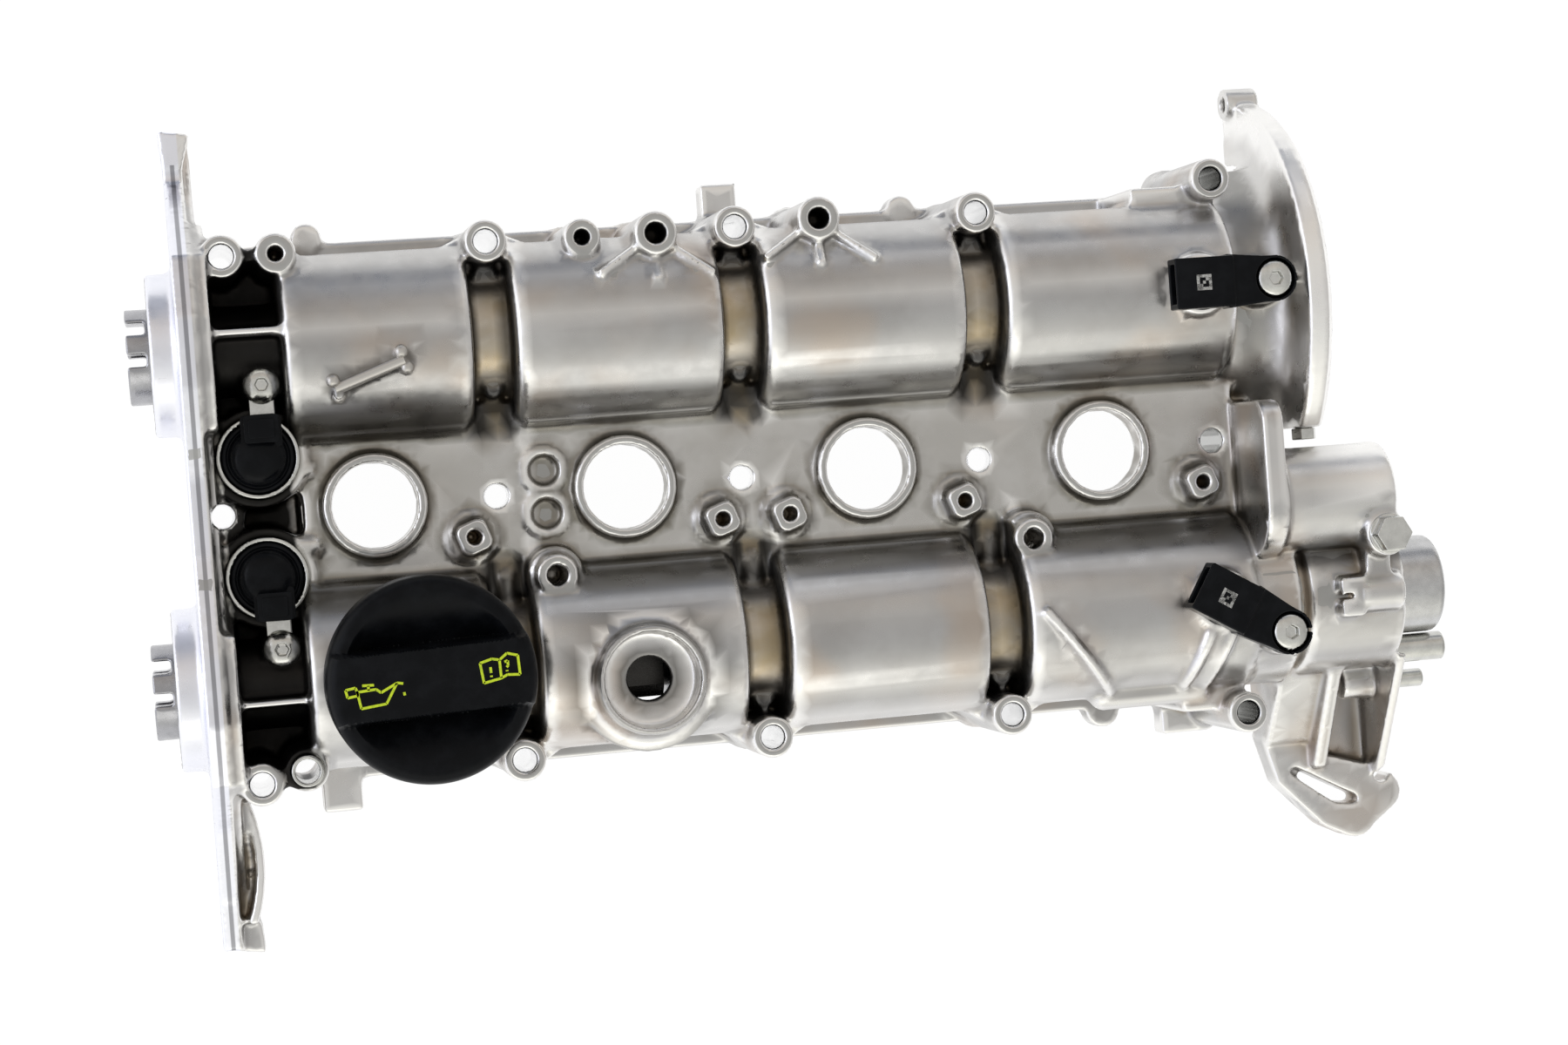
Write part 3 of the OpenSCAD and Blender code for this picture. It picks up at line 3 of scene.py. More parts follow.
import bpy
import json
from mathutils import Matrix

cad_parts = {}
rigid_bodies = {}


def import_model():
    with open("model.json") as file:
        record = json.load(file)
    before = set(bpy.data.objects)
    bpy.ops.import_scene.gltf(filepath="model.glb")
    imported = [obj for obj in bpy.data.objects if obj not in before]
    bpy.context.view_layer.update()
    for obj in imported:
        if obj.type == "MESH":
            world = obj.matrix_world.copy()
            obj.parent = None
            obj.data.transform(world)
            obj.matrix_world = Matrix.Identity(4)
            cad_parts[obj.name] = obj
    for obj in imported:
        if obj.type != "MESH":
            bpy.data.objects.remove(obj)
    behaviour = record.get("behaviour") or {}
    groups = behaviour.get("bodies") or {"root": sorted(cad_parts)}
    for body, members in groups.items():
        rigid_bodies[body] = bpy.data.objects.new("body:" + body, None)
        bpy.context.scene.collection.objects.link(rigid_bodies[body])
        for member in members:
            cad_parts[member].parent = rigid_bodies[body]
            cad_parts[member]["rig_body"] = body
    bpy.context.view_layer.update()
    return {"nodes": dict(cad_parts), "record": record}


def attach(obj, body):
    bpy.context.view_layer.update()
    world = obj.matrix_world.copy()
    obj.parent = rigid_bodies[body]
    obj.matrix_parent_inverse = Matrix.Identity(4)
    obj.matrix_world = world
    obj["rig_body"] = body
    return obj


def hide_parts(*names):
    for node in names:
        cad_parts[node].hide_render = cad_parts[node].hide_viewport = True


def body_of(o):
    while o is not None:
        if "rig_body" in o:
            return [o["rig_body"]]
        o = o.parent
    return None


bl_info = {
    "name": "Engine valve cover look",
    "version": (1, 0, 0),
    "blender": (4, 5, 0),
    "location": "3D View > Sidebar > Valve Cover",
    "description": "Builds the fine pieces, finishes and stage of the engine valve cover",
    "category": "Object",
}

import json
import math

import bmesh
import bpy
import numpy as np
import openvdb as vdb
from mathutils import Matrix, Vector

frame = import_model()

MM = 0.001

# Places in millimetres, as in the part's source
EXHAUST_Y = 55.0
INTAKE_Y = -53.5
CAM_Z = 28.0
BARREL_R = 32.0
PLUG_Y = 1.8
PUMP = (-40.3, -61.0)
WEBS = (-82.0, 0.0, 82.0)
VALVE_X = -159.2
VALVE_Y = {"exhaust": 19.8, "intake": -18.9}
HUB_FACE_X = -189.6
FLANGE_REAR_X = -176.3
FLANGE_SEAM_X = -178.7

# The raised mark on the first exhaust barrel: its front end and its run, in X and Y, and its bar and balls
MARK_FRONT = np.array([-133.5, 40.0])
MARK_RUN = np.array([22.0, 7.6])
MARK_HALF_WIDTH = 1.75
MARK_LIFT = 0.9
MARK_HALF_HEIGHT = 1.5
MARK_BALL_R = 2.3
MARK_BALL_SIDE = 2.5

# Through holes of the casting, as X and Y, and their radius
BORES = [
    (-82.0, 84.1), (0.0, 84.1), (82.0, 84.1), (-82.0, -84.1), (0.0, -84.1),
    (82.0, -84.1), (-166.0, 84.1), (-166.0, -84.1), (165.0, 90.9), (165.0, -90.9),
    (-83.2, 1.8), (-1.2, 1.8), (80.8, 1.8), (-171.5, 1.8), (164.0, 2.3),
]
BORE_R = 3.9

# Tapped holes of the exhaust edge, as X, Y and radius
TAPPED = [(-50.6, 83.6, 2.5), (-26.9, 83.3, 3.4), (27.6, 85.0, 3.4)]

# Printed patch of a sensor: its place along X, the sensor's top, and the patch's cells
PROBE_X = 155.5
SENSOR_TOP_Z = 70.23
PATCH_CELLS = 5
PATCH_STEP = 1.05
PATCH_CELL = 1.0
PATCH_CORNER = (-4.4, -2.6)
PATCH_DEPTH = 0.07

# Plug head of a control valve, as radius and height
PLUG_DOME = [
    (0.0, 34.2), (11.6, 34.2), (11.6, 46.6), (11.2, 47.2), (10.4, 47.5), (10.1, 47.2),
    (9.8, 46.8), (9.4, 46.9), (9.1, 47.8), (8.8, 48.6), (8.0, 49.5), (6.8, 50.3),
    (5.0, 50.9), (3.0, 51.2), (1.2, 51.3), (0.0, 51.3),
]

# Blocks on a plug head: X from and to, half width, corner radius, Z from and to, distance from the axis
PLUG_BLOCKS = [
    (-4.0, 7.0, 4.5, 1.2, 48.2, 54.4, 9.0),
    (-5.0, 8.0, 5.3, 1.6, 47.4, 50.2, 8.2),
    (-2.6, 5.6, 3.1, 0.8, 54.0, 54.9, 9.0),
]

# Filler cap: place, heights, radii, width and step of the grip, depth of the scoops, and its mesh's points
CAP_PLACE = (-112.5, INTAKE_Y, 0.0)
CAP_FOOT_Z = 56.0
CAP_RIM_Z = 70.2
CAP_TOP_Z = 92.0
CAP_R = 32.7
CAP_SKIRT_R = 19.5
CAP_TOP_SHARE = 0.955
CAP_GRIP = 20.5
CAP_STEP = 4.2
CAP_SCOOP = 9.5
CAP_COUNT = 240
CAP_ROWS = 64

# Signs on the cap as lines in the grip's own frame
SIGN_WIDTH = 0.8
OIL_CAN = [
    [(-27.2, 0.5), (-24.1, 0.9), (-23.4, -1.6), (-26.8, -1.9), (-27.2, 0.5)],
    [(-24.1, -0.5), (-17.9, -0.3), (-16.5, -1.5), (-11.3, 0.9), (-9.5, 0.5)],
    [(-23.7, -0.6), (-23.0, -5.7), (-15.2, -5.1), (-11.4, 0.8)],
    [(-20.2, -0.4), (-20.2, 1.1)],
    [(-22.0, 1.3), (-18.4, 1.1)],
    [(-9.5, -2.2), (-9.4, -3.2)],
]
OPEN_BOOK = [
    [
        (14.6, 3.8), (18.4, 4.7), (20.7, 4.1), (23.2, 5.9), (26.5, 4.9),
        (26.6, -1.1), (22.7, -0.7), (20.6, -1.6), (15.2, -2.5), (14.6, 3.8),
    ],
    [(20.7, 4.1), (20.7, -1.5)],
    [(17.7, 2.2), (17.7, 0.4)],
    [(17.7, -0.4), (17.7, -0.9)],
    [(22.2, 3.3), (23.2, 3.6), (23.2, 2.1), (22.7, 1.6)],
    [(22.7, 0.7), (22.7, 0.3)],
]

# Rounded pieces by group, with grid step, inner fillet, edge rounding and most triangles
SMALL_PIECES = {
    "fasteners": {
        "exhaust_valve_bolt": (0.16, 0.2, 0.25, 16000),
        "intake_valve_bolt": (0.16, 0.2, 0.25, 16000),
        "exhaust_sensor_bolt": (0.16, 0.2, 0.3, 16000),
        "intake_sensor_bolt": (0.16, 0.2, 0.3, 16000),
        "exhaust_valve_bracket": (0.16, 0.3, 0.3, 9000),
        "intake_valve_bracket": (0.16, 0.3, 0.3, 9000),
        "hex_plug": (0.2, 0.3, 0.3, 9000),
        "bell_bolt": (0.2, 0.3, 0.25, 6000),
        "locating_pin": (0.2, 0.3, 0.3, 6000),
        "return_pipe": (0.25, 0.2, 0.3, 9000),
        "dowel_sleeve": (0.16, 0.2, 0.2, 9000),
        "rear_end_cap": (0.4, 1.0, 0.6, 16000),
    },
    "shaft_ends": {
        "exhaust_shaft_end": (0.3, 0.4, 0.4, 24000),
        "intake_shaft_end": (0.3, 0.4, 0.4, 24000),
        "exhaust_front_seal": (0.25, 0.2, 0.2, 16000),
        "intake_front_seal": (0.25, 0.2, 0.2, 16000),
    },
    "sensors": {
        "exhaust_sensor": (0.25, 0.35, 0.45, 24000),
        "intake_sensor": (0.25, 0.35, 0.45, 24000),
    },
    "valve_cans": {
        "exhaust_valve_can": (0.25, 0.3, 0.3, 24000),
        "intake_valve_can": (0.25, 0.3, 0.3, 24000),
    },
}

# How far flat neighbours are merged in a rounded surface
MERGING = 0.1

# Faint lamps: name, place, width, height, share of the key power and colour
LAMPS = [
    ("key_lamp", (-0.2, -1.15, 0.85), 1.4, 0.5, 0.4, (1.0, 0.99, 0.97)),
    ("side_lamp", (0.5, 1.2, 0.6), 0.9, 0.35, 0.12, (1.0, 0.97, 0.93)),
    ("end_lamp", (-1.3, 0.2, 0.6), 0.8, 0.5, 0.6, (0.86, 0.9, 1.0)),
]
AIM = (0.0, 0.0, 0.03)

# Colours of the soft sky from the intake side to the exhaust side, and of its two ends along X
SKY_BANDS = [
    (0.0, (0.92, 0.92, 0.9)),
    (0.07, (1.15, 1.14, 1.07)),
    (0.18, (0.95, 0.94, 0.89)),
    (0.33, (0.74, 0.74, 0.72)),
    (0.5, (0.64, 0.63, 0.62)),
    (0.67, (0.72, 0.7, 0.67)),
    (0.82, (0.66, 0.61, 0.56)),
    (0.93, (0.38, 0.39, 0.42)),
    (1.0, (0.33, 0.35, 0.4)),
]
SKY_FRONT = (1.25, 1.28, 1.42)
SKY_REAR = (0.5, 0.49, 0.48)

FLOOR_Z = -0.0008
FLOOR_GLOW = 1.08


# Small helpers for meshes


def ring_points(radius, z, count):
    """Points on a level circle."""
    turn = 2 * math.pi / count
    return [(radius * math.cos(i * turn), radius * math.sin(i * turn), z) for i in range(count)]


def turned(profile, count=96):
    """A closed solid turned about Z from a list of (radius, height)."""
    verts, faces, rows = [], [], []
    for radius, z in profile:
        if radius < 1e-6:
            rows.append([len(verts)] * count)
            verts.append((0.0, 0.0, z))
        else:
            rows.append(list(range(len(verts), len(verts) + count)))
            verts += ring_points(radius, z, count)
    for low, high in zip(rows, rows[1:]):
        for i in range(count):
            j = (i + 1) % count
            face = [low[i], low[j], high[j], high[i]]
            face = [v for k, v in enumerate(face) if v not in face[:k]]
            if len(face) > 2:
                faces.append(face)
    return verts, faces


def rounded(corners, radius, steps=5):
    """An outline with each corner rounded."""
    points = []
    count = len(corners)
    for i, corner in enumerate(corners):
        here = Vector(corner)
        before = Vector(corners[i - 1]) - here
        after = Vector(corners[(i + 1) % count]) - here
        reach = min(radius, before.length * 0.45, after.length * 0.45)
        start = here + before.normalized() * reach
        end = here + after.normalized() * reach
        for k in range(steps + 1):
            t = k / steps
            points.append(tuple(start * (1 - t) ** 2 + here * 2 * t * (1 - t) + end * t**2))
    return points


def prism(outline, z0, z1):
    """A solid between two heights."""
    count = len(outline)
    verts = [(x, y, z0) for x, y in outline] + [(x, y, z1) for x, y in outline]
    faces = [list(range(count))[::-1], list(range(count, 2 * count))]
    for i in range(count):
        j = (i + 1) % count
        faces.append([i, j, count + j, count + i])
    return verts, faces


def stroke(points, width, z0, z1):
    """Flat strips along a line, one solid for each stretch."""
    strips = []
    for a, b in zip(points, points[1:]):
        a, b = Vector(a), Vector(b)
        side = (b - a).normalized().orthogonal() * width / 2
        strips.append(prism([tuple(a - side), tuple(b - side), tuple(b + side), tuple(a + side)], z0, z1))
    return joined(*strips)


def joined(*parts):
    """Several solids as one list of points and faces."""
    verts, faces = [], []
    for part_verts, part_faces in parts:
        faces += [[v + len(verts) for v in face] for face in part_faces]
        verts += list(part_verts)
    return verts, faces


def moved(part, place=(0.0, 0.0, 0.0), turn=0.0):
    """A solid turned about Z by degrees and then moved."""
    matrix = Matrix.Translation(place) @ Matrix.Rotation(math.radians(turn), 4, "Z")
    return [tuple(matrix @ Vector(v)) for v in part[0]], part[1]


def piece(name, part, material, body, replaced=(), edge=0.0, smooth=40.0):
    """A finished object in the shared frame, from points in millimetres."""
    mesh = bpy.data.meshes.new(name)
    mesh.from_pydata([tuple(c * MM for c in v) for v in part[0]], [], part[1])
    work = bmesh.new()
    work.from_mesh(mesh)
    bmesh.ops.recalc_face_normals(work, faces=work.faces)
    work.to_mesh(mesh)
    work.free()
    mesh.update()
    obj = bpy.data.objects.new(name, mesh)
    bpy.context.scene.collection.objects.link(obj)
    mesh.materials.append(material)
    if edge:
        bevel = obj.modifiers.new("edges", "BEVEL")
        bevel.width = edge * MM
        bevel.segments = 3
        bevel.limit_method = "ANGLE"
        bevel.angle_limit = math.radians(35)
    obj.data.shade_smooth()
    apply_modifiers(obj)
    obj.data.set_sharp_from_angle(angle=math.radians(smooth))
    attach(obj, body)
    if replaced:
        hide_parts(*replaced)
    return obj


def apply_modifiers(obj):
    """Makes the modified mesh the object's own."""
    if not obj.modifiers:
        return
    graph = bpy.context.evaluated_depsgraph_get()
    mesh = bpy.data.meshes.new_from_object(obj.evaluated_get(graph))
    obj.modifiers.clear()
    obj.data = mesh


# Materials


def set_socket(tree, socket, value):
    """Links a socket to another, or gives it a plain value."""
    if isinstance(value, bpy.types.NodeSocket):
        tree.links.new(value, socket)
    else:
        socket.default_value = value


def node(tree, kind, inputs=None, **settings):
    """One shader node with its settings and inputs."""
    made = tree.nodes.new(kind)
    for key, value in settings.items():
        setattr(made, key, value)
    for key, value in (inputs or {}).items():
        set_socket(tree, made.inputs[key], value)
    return made


def maths(tree, operation, a, b=0.0):
    """The result of one sum on two values."""
    return node(tree, "ShaderNodeMath", {0: a, 1: b}, operation=operation).outputs[0]


def times(tree, a, b):
    """One value times another."""
    return maths(tree, "MULTIPLY", a, b)


def without(tree, value):
    """What a share leaves of one."""
    return maths(tree, "SUBTRACT", 1.0, value)


def noise(tree, where, scale, detail=3.0, rough=0.5):
    """Even noise between zero and one."""
    inputs = {"Vector": where, "Scale": scale, "Detail": detail, "Roughness": rough}
    return node(tree, "ShaderNodeTexNoise", inputs).outputs["Fac"]


def blend(tree, share, a, b):
    """A mix of two colours."""
    made = node(tree, "ShaderNodeMix", data_type="RGBA")
    for index, value in ((0, share), (6, a), (7, b)):
        set_socket(tree, made.inputs[index], value)
    return made.outputs[2]


def spread(tree, value, low, high, to_low=0.0, to_high=1.0, smooth=True):
    """A value stretched from one range to another."""
    made = node(
        tree,
        "ShaderNodeMapRange",
        {"Value": value, "From Min": low, "From Max": high, "To Min": to_low, "To Max": to_high},
        interpolation_type="SMOOTHSTEP" if smooth else "LINEAR",
    )
    return made.outputs["Result"]


def split_axes(tree, vector):
    """The three numbers of a vector."""
    return node(tree, "ShaderNodeSeparateXYZ", {0: vector}).outputs


def new_material(name, metallic=0.0, specular=0.5):
    """A material with its tree, shader and object coordinates."""
    material = bpy.data.materials.new(name)
    material.use_nodes = True
    tree = material.node_tree
    shader = tree.nodes["Principled BSDF"]
    shader.inputs["Metallic"].default_value = metallic
    shader.inputs["Specular IOR Level"].default_value = specular
    where = node(tree, "ShaderNodeTexCoord").outputs["Object"]
    return material, tree, shader, where


def bump(tree, shader, heights, distance):
    """Surface grain from a height."""
    made = node(tree, "ShaderNodeBump", {"Height": heights, "Distance": distance, "Strength": 1.0})
    tree.links.new(made.outputs["Normal"], shader.inputs["Normal"])


def rgb(colour):
    """A colour with full cover."""
    return (colour[0], colour[1], colour[2], 1.0)


def mask(tree, name):
    """One of the masks of stains, wear, painted shade and painted highlights that the casting's points carry.
    """
    return node(tree, "ShaderNodeAttribute", attribute_name=name).outputs["Fac"]


def level_mask(tree, height, levels, width):
    """One where a height lies at one of some levels."""
    total = None
    for level in levels:
        away = maths(tree, "ABSOLUTE", maths(tree, "SUBTRACT", height, level * MM))
        near = maths(tree, "LESS_THAN", away, width * MM)
        total = near if total is None else maths(tree, "MAXIMUM", total, near)
    return total


def machined_mask(tree, place, facing, levels):
    """One on the tops of the bosses and collars, on the joint face and on the hubs' front faces."""
    top = level_mask(tree, place[2], levels, 0.45)
    top = times(tree, top, maths(tree, "GREATER_THAN", facing[2], 0.95))
    bottom = maths(tree, "LESS_THAN", place[2], 0.3 * MM)
    bottom = times(tree, bottom, maths(tree, "LESS_THAN", facing[2], -0.9))
    front = maths(tree, "LESS_THAN", place[0], HUB_FACE_X * MM)
    front = times(tree, front, maths(tree, "LESS_THAN", facing[0], -0.9))
    return maths(tree, "MAXIMUM", top, maths(tree, "MAXIMUM", bottom, front))


def seam_mask(tree, place, facing):
    """The dark seam along the edge of the timing flange."""
    away = maths(tree, "ABSOLUTE", maths(tree, "SUBTRACT", place[0], FLANGE_SEAM_X * MM))
    seam = spread(tree, away, 0.5 * MM, 0.9 * MM, 0.75, 0.0)
    seam = times(tree, seam, maths(tree, "GREATER_THAN", facing[0], -0.5))
    return times(tree, seam, maths(tree, "LESS_THAN", place[1], 118.0 * MM))


def cast_aluminium(chosen):
    """Satin cast aluminium with machined faces, worn edges with painted highlights, brown dirt with painted
    shade in corners, and painted shade and painted highlights from the casting's masks.
    """
    material, tree, shader, where = new_material("cast_aluminium", metallic=1.0)
    place = split_axes(tree, where)
    facing = split_axes(tree, node(tree, "ShaderNodeNewGeometry").outputs["Normal"])
    dark = mask(tree, "dark")
    bore = mask(tree, "bore")
    machined = machined_mask(tree, place, facing, chosen.machined_levels())
    machined = times(tree, machined, without(tree, dark))

    cloud = noise(tree, where, 22.0, 4.0, 0.6)
    patch = noise(tree, where, 60.0, 3.0, 0.55)
    warm = noise(tree, where, 26.0, 2.0, 0.5)
    grain = noise(tree, where, 700.0, 1.0, 0.5)
    streak = noise(tree, where, 150.0, 3.0, 0.6)

    valley = times(tree, mask(tree, "valley"), spread(tree, patch, 0.3, 0.6, 0.55, 0.95))
    corner = spread(tree, mask(tree, "hollow"), 0.52, 0.7)
    corner = times(tree, corner, spread(tree, cloud, 0.3, 0.6, 0.4, 1.0))
    gold = times(tree, mask(tree, "gold"), spread(tree, patch, 0.3, 0.7, 0.5, 1.0))
    flange = spread(tree, place[0], (FLANGE_REAR_X - 0.6) * MM, FLANGE_REAR_X * MM, 1.0, 0.0)
    bell = spread(tree, place[0], 176.0 * MM, 181.0 * MM, 0.0, 0.7)
    bell = times(tree, bell, spread(tree, place[1], -38.0 * MM, -10.0 * MM, 0.1, 1.0))

    # Layers of colour from the skin up, each with its share
    layers = [
        (spread(tree, cloud, 0.38, 0.68), chosen.cast_shade),
        (spread(tree, warm, 0.48, 0.7, 0.0, 0.7), chosen.warm_tint),
        (valley, chosen.plate_colour),
        # Inner corners: brown dirt with painted shade, by how closed in each point is
        (corner, chosen.corner_shade_and_dirt),
        # Convex edges: rubbed wear with painted highlights
        (spread(tree, mask(tree, "edge"), 0.58, 0.74, 0.0, 0.85), chosen.edge_wear_and_highlight),
        # Groove floors: golden oil stain; in the slots a painted golden glint
        (gold, chosen.gold_stain_and_glint),
        # Timing flange: paler machined face with painted bluish light
        (times(tree, flange, 0.92), chosen.flange_machined_and_light),
        (seam_mask(tree, place, facing), (0.2, 0.2, 0.22)),
        (bell, chosen.bell_colour),
        # Painted highlights on the groove rims, the bell rim and the pump seat's rings
        (mask(tree, "bright"), (0.95, 0.94, 0.92)),
        # Painted shade on the inner flanks, bell neck, pump seat and round the mark
        (mask(tree, "shade"), chosen.shade_colour),
        # Near-black painted shade with oil in recesses, groove walls, slots and holes
        (times(tree, dark, 0.98), chosen.recess_shade_colour),
        (times(tree, machined, 0.8), chosen.machined_colour),
    ]
    base = rgb(chosen.cast_colour)
    for share, colour in layers:
        base = blend(tree, share, base, rgb(colour))
    # Bore walls: painted light, near white in the front and middle holes, and darker painted shade from X 100
    # mm to the rear
    wall = spread(tree, place[0], 100.0 * MM, 130.0 * MM)
    wall = blend(tree, wall, (0.92, 0.92, 0.92, 1.0), (0.5, 0.5, 0.49, 1.0))
    tree.links.new(blend(tree, bore, base, wall), shader.inputs["Base Color"])

    rough = spread(tree, streak, 0.25, 0.75, chosen.roughness - 0.05, chosen.roughness + 0.07)
    rough = maths(tree, "ADD", rough, times(tree, machined, 0.08))
    rough = maths(tree, "ADD", rough, times(tree, dark, 0.15))
    rough = maths(tree, "SUBTRACT", rough, times(tree, bore, 0.15))
    tree.links.new(rough, shader.inputs["Roughness"])

    height = maths(tree, "ADD", times(tree, grain, 0.12), times(tree, streak, 0.35))
    height = times(tree, height, without(tree, times(tree, machined, 0.6)))
    bump(tree, shader, height, 0.00006)
    return material


def plain_metal(name, colour, roughness, marks=0.0):
    """Turned or plated metal with faint marks."""
    material, tree, shader, where = new_material(name, metallic=1.0)
    cloud = noise(tree, where, 220.0, 3.0, 0.6)
    fine = noise(tree, where, 2400.0, 2.0, 0.5)
    darker = tuple(c * 0.82 for c in colour)
    base = blend(tree, spread(tree, cloud, 0.3, 0.75), rgb(colour), rgb(darker))
    rough = spread(tree, fine, 0.3, 0.7, roughness - 0.04, roughness + 0.07)
    tree.links.new(base, shader.inputs["Base Color"])
    tree.links.new(rough, shader.inputs["Roughness"])
    bump(tree, shader, maths(tree, "ADD", cloud, times(tree, fine, 0.3 + marks)), 0.00002)
    return material


def moulded_plastic(name, colour, roughness):
    """Moulded plastic or rubber with a fine spark-eroded grain."""
    material, tree, shader, where = new_material(name, specular=0.1)
    cloud = noise(tree, where, 160.0, 3.0, 0.6)
    grain = noise(tree, where, 2600.0, 2.0, 0.5)
    lighter = tuple(min(1.0, c * 1.6 + 0.0015) for c in colour)
    base = blend(tree, spread(tree, cloud, 0.35, 0.75), rgb(colour), rgb(lighter))
    rough = spread(tree, cloud, 0.3, 0.7, roughness - 0.05, roughness + 0.06)
    tree.links.new(base, shader.inputs["Base Color"])
    tree.links.new(rough, shader.inputs["Roughness"])
    bump(tree, shader, grain, 0.00003)
    return material


# Settings


def colour_setting(name, description, default):
    """A colour that the user may change."""
    return bpy.props.FloatVectorProperty(
        name=name, description=description, default=default, size=3, min=0.0, max=1.0, subtype="COLOR"
    )


class ValveCoverCasting(bpy.types.PropertyGroup):
    """Sizes and colours of the casting."""

    voxel: bpy.props.FloatProperty(
        name="Grid step",
        description="Grid step of the rounding, in millimetres",
        default=0.7,
        min=0.4,
        max=2.0,
    )
    fillet: bpy.props.FloatProperty(
        name="Inner fillet",
        description="Radius that fills inner corners, in millimetres",
        default=1.2,
        min=0.2,
        max=4.0,
    )
    rounding: bpy.props.FloatProperty(
        name="Edge rounding",
        description="Radius that rounds outer edges, in millimetres",
        default=0.4,
        min=0.1,
        max=2.0,
    )
    triangles: bpy.props.IntProperty(
        name="Triangles",
        description="Most triangles of the casting",
        default=196000,
        min=20000,
        max=200000,
    )
    roughness: bpy.props.FloatProperty(
        name="Roughness",
        description="Roughness of the cast skin",
        default=0.3,
        min=0.0,
        max=1.0,
        subtype="FACTOR",
    )
    cast_colour: colour_setting("Cast skin", "Main colour of the casting", (0.5, 0.495, 0.49))
    cast_shade: colour_setting("Cast shade", "Darker colour in the skin's clouds", (0.41, 0.4, 0.39))
    warm_tint: colour_setting("Warm tint", "Colour of the skin's warm patches", (0.5, 0.42, 0.35))
    plate_colour: colour_setting("Plate", "Colour of the plate between the barrels", (0.23, 0.215, 0.185))
    edge_wear_and_highlight: colour_setting("Edges", "Rubbed edges with painted highlights", (0.95, 0.94, 0.92))
    corner_shade_and_dirt: colour_setting("Corners", "Brown dirt and painted shade in inner corners", (0.3, 0.25, 0.19))
    gold_stain_and_glint: colour_setting("Groove floors", "Golden oil stain on the groove floors, with a painted glint in the slots", (0.43, 0.345, 0.22))
    machined_colour: colour_setting("Machined faces", "Colour of the machined faces", (0.38, 0.38, 0.37))
    flange_machined_and_light: colour_setting("Timing flange", "Machined timing flange with painted bluish light", (0.92, 0.93, 1.0))
    bell_colour: colour_setting("Bell", "Colour of the bell and tail", (0.72, 0.71, 0.69))
    shade_colour: colour_setting("Inner flanks", "Painted shade on the inner flanks, round the mark, on the bell neck and in the pump seat", (0.085, 0.08, 0.07))
    recess_shade_colour: colour_setting("Recess", "Painted shade with oil in the recesses, groove walls and holes", (0.012, 0.011, 0.010))
    levels: bpy.props.StringProperty(
        name="Machined heights",
        description="Heights of the machined faces in millimetres, with commas between them",
        default="52.7,56.2,43.0,47.0,51.5,66.0,51.7,36.0,42.0",
    )

    def machined_levels(self):
        """The machined heights as numbers."""
        return [float(word) for word in self.levels.split(",")]


class ValveCoverFittings(bpy.types.PropertyGroup):
    """Colours of the pieces fitted to the casting."""

    plastic: colour_setting("Plastic", "Colour of the black plastic", (0.003, 0.0035, 0.0045))
    rubber: colour_setting("Rubber", "Colour of the seals", (0.006, 0.006, 0.006))
    plated: colour_setting("Plated steel", "Colour of the plated pieces", (0.68, 0.68, 0.65))
    bearing: colour_setting("Bearing steel", "Colour of the bearings", (0.62, 0.62, 0.63))
    shaft: colour_setting("Camshafts", "Colour of the camshafts", (0.44, 0.44, 0.46))
    tube_oil_and_shade: colour_setting("Oily shaded steel", "Oily inner tubes and pump cam, darkened with painted shade", (0.05, 0.048, 0.045))
    cap_print: colour_setting("Cap print", "Colour of the signs on the cap", (0.62, 0.78, 0.02))
    sensor_print: colour_setting("Sensor print", "Colour of the sensors' patches", (0.6, 0.6, 0.58))
    cap_turn: bpy.props.FloatProperty(
        name="Cap turn",
        description="Turn of the cap's grip from the camshafts",
        default=math.radians(2),
        subtype="ANGLE",
    )


class ValveCoverStage(bpy.types.PropertyGroup):
    """Camera, floor and light."""

    lens: bpy.props.FloatProperty(
        name="Lens",
        description="Focal length of the camera, in millimetres",
        default=68.0,
        min=10.0,
    )
    camera_place: bpy.props.FloatVectorProperty(
        name="Camera",
        description="Place of the camera",
        default=(-0.18568, 0.00439, 1.00712),
        size=3,
        subtype="TRANSLATION",
        unit="LENGTH",
    )
    camera_turns: bpy.props.FloatVectorProperty(
        name="Camera turns",
        description="Turns of the camera about X, Y and Z",
        default=(0.0188676, 0.2011221, 0.0752),
        size=3,
        subtype="EULER",
        unit="ROTATION",
    )
    floor_size: bpy.props.FloatProperty(
        name="Floor",
        description="Width of the floor",
        default=6.0,
        min=1.0,
        unit="LENGTH",
    )
    floor_shadow: bpy.props.FloatProperty(
        name="Floor shadow",
        description="Share of the floor that takes shadows",
        default=0.1,
        min=0.0,
        max=1.0,
        subtype="FACTOR",
    )
    sky: bpy.props.FloatProperty(
        name="Sky",
        description="Strength of the light all round",
        default=1.0,
        min=0.0,
    )
    key: bpy.props.FloatProperty(
        name="Key lamp",
        description="Power that the lamps take their shares of",
        default=3.0,
        min=0.0,
        unit="POWER",
    )


class ValveCoverSettings(bpy.types.PropertyGroup):
    """All settings of the valve cover."""

    casting: bpy.props.PointerProperty(type=ValveCoverCasting)
    fittings: bpy.props.PointerProperty(type=ValveCoverFittings)
    stage: bpy.props.PointerProperty(type=ValveCoverStage)


def settings():
    """The scene's settings for this object."""
    return bpy.context.scene.valve_cover


# Rounding of CAD nodes


def mesh_points(mesh):
    """The mesh's points in millimetres."""
    points = np.empty(len(mesh.vertices) * 3, np.float32)
    mesh.vertices.foreach_get("co", points)
    return points.reshape(-1, 3) / MM


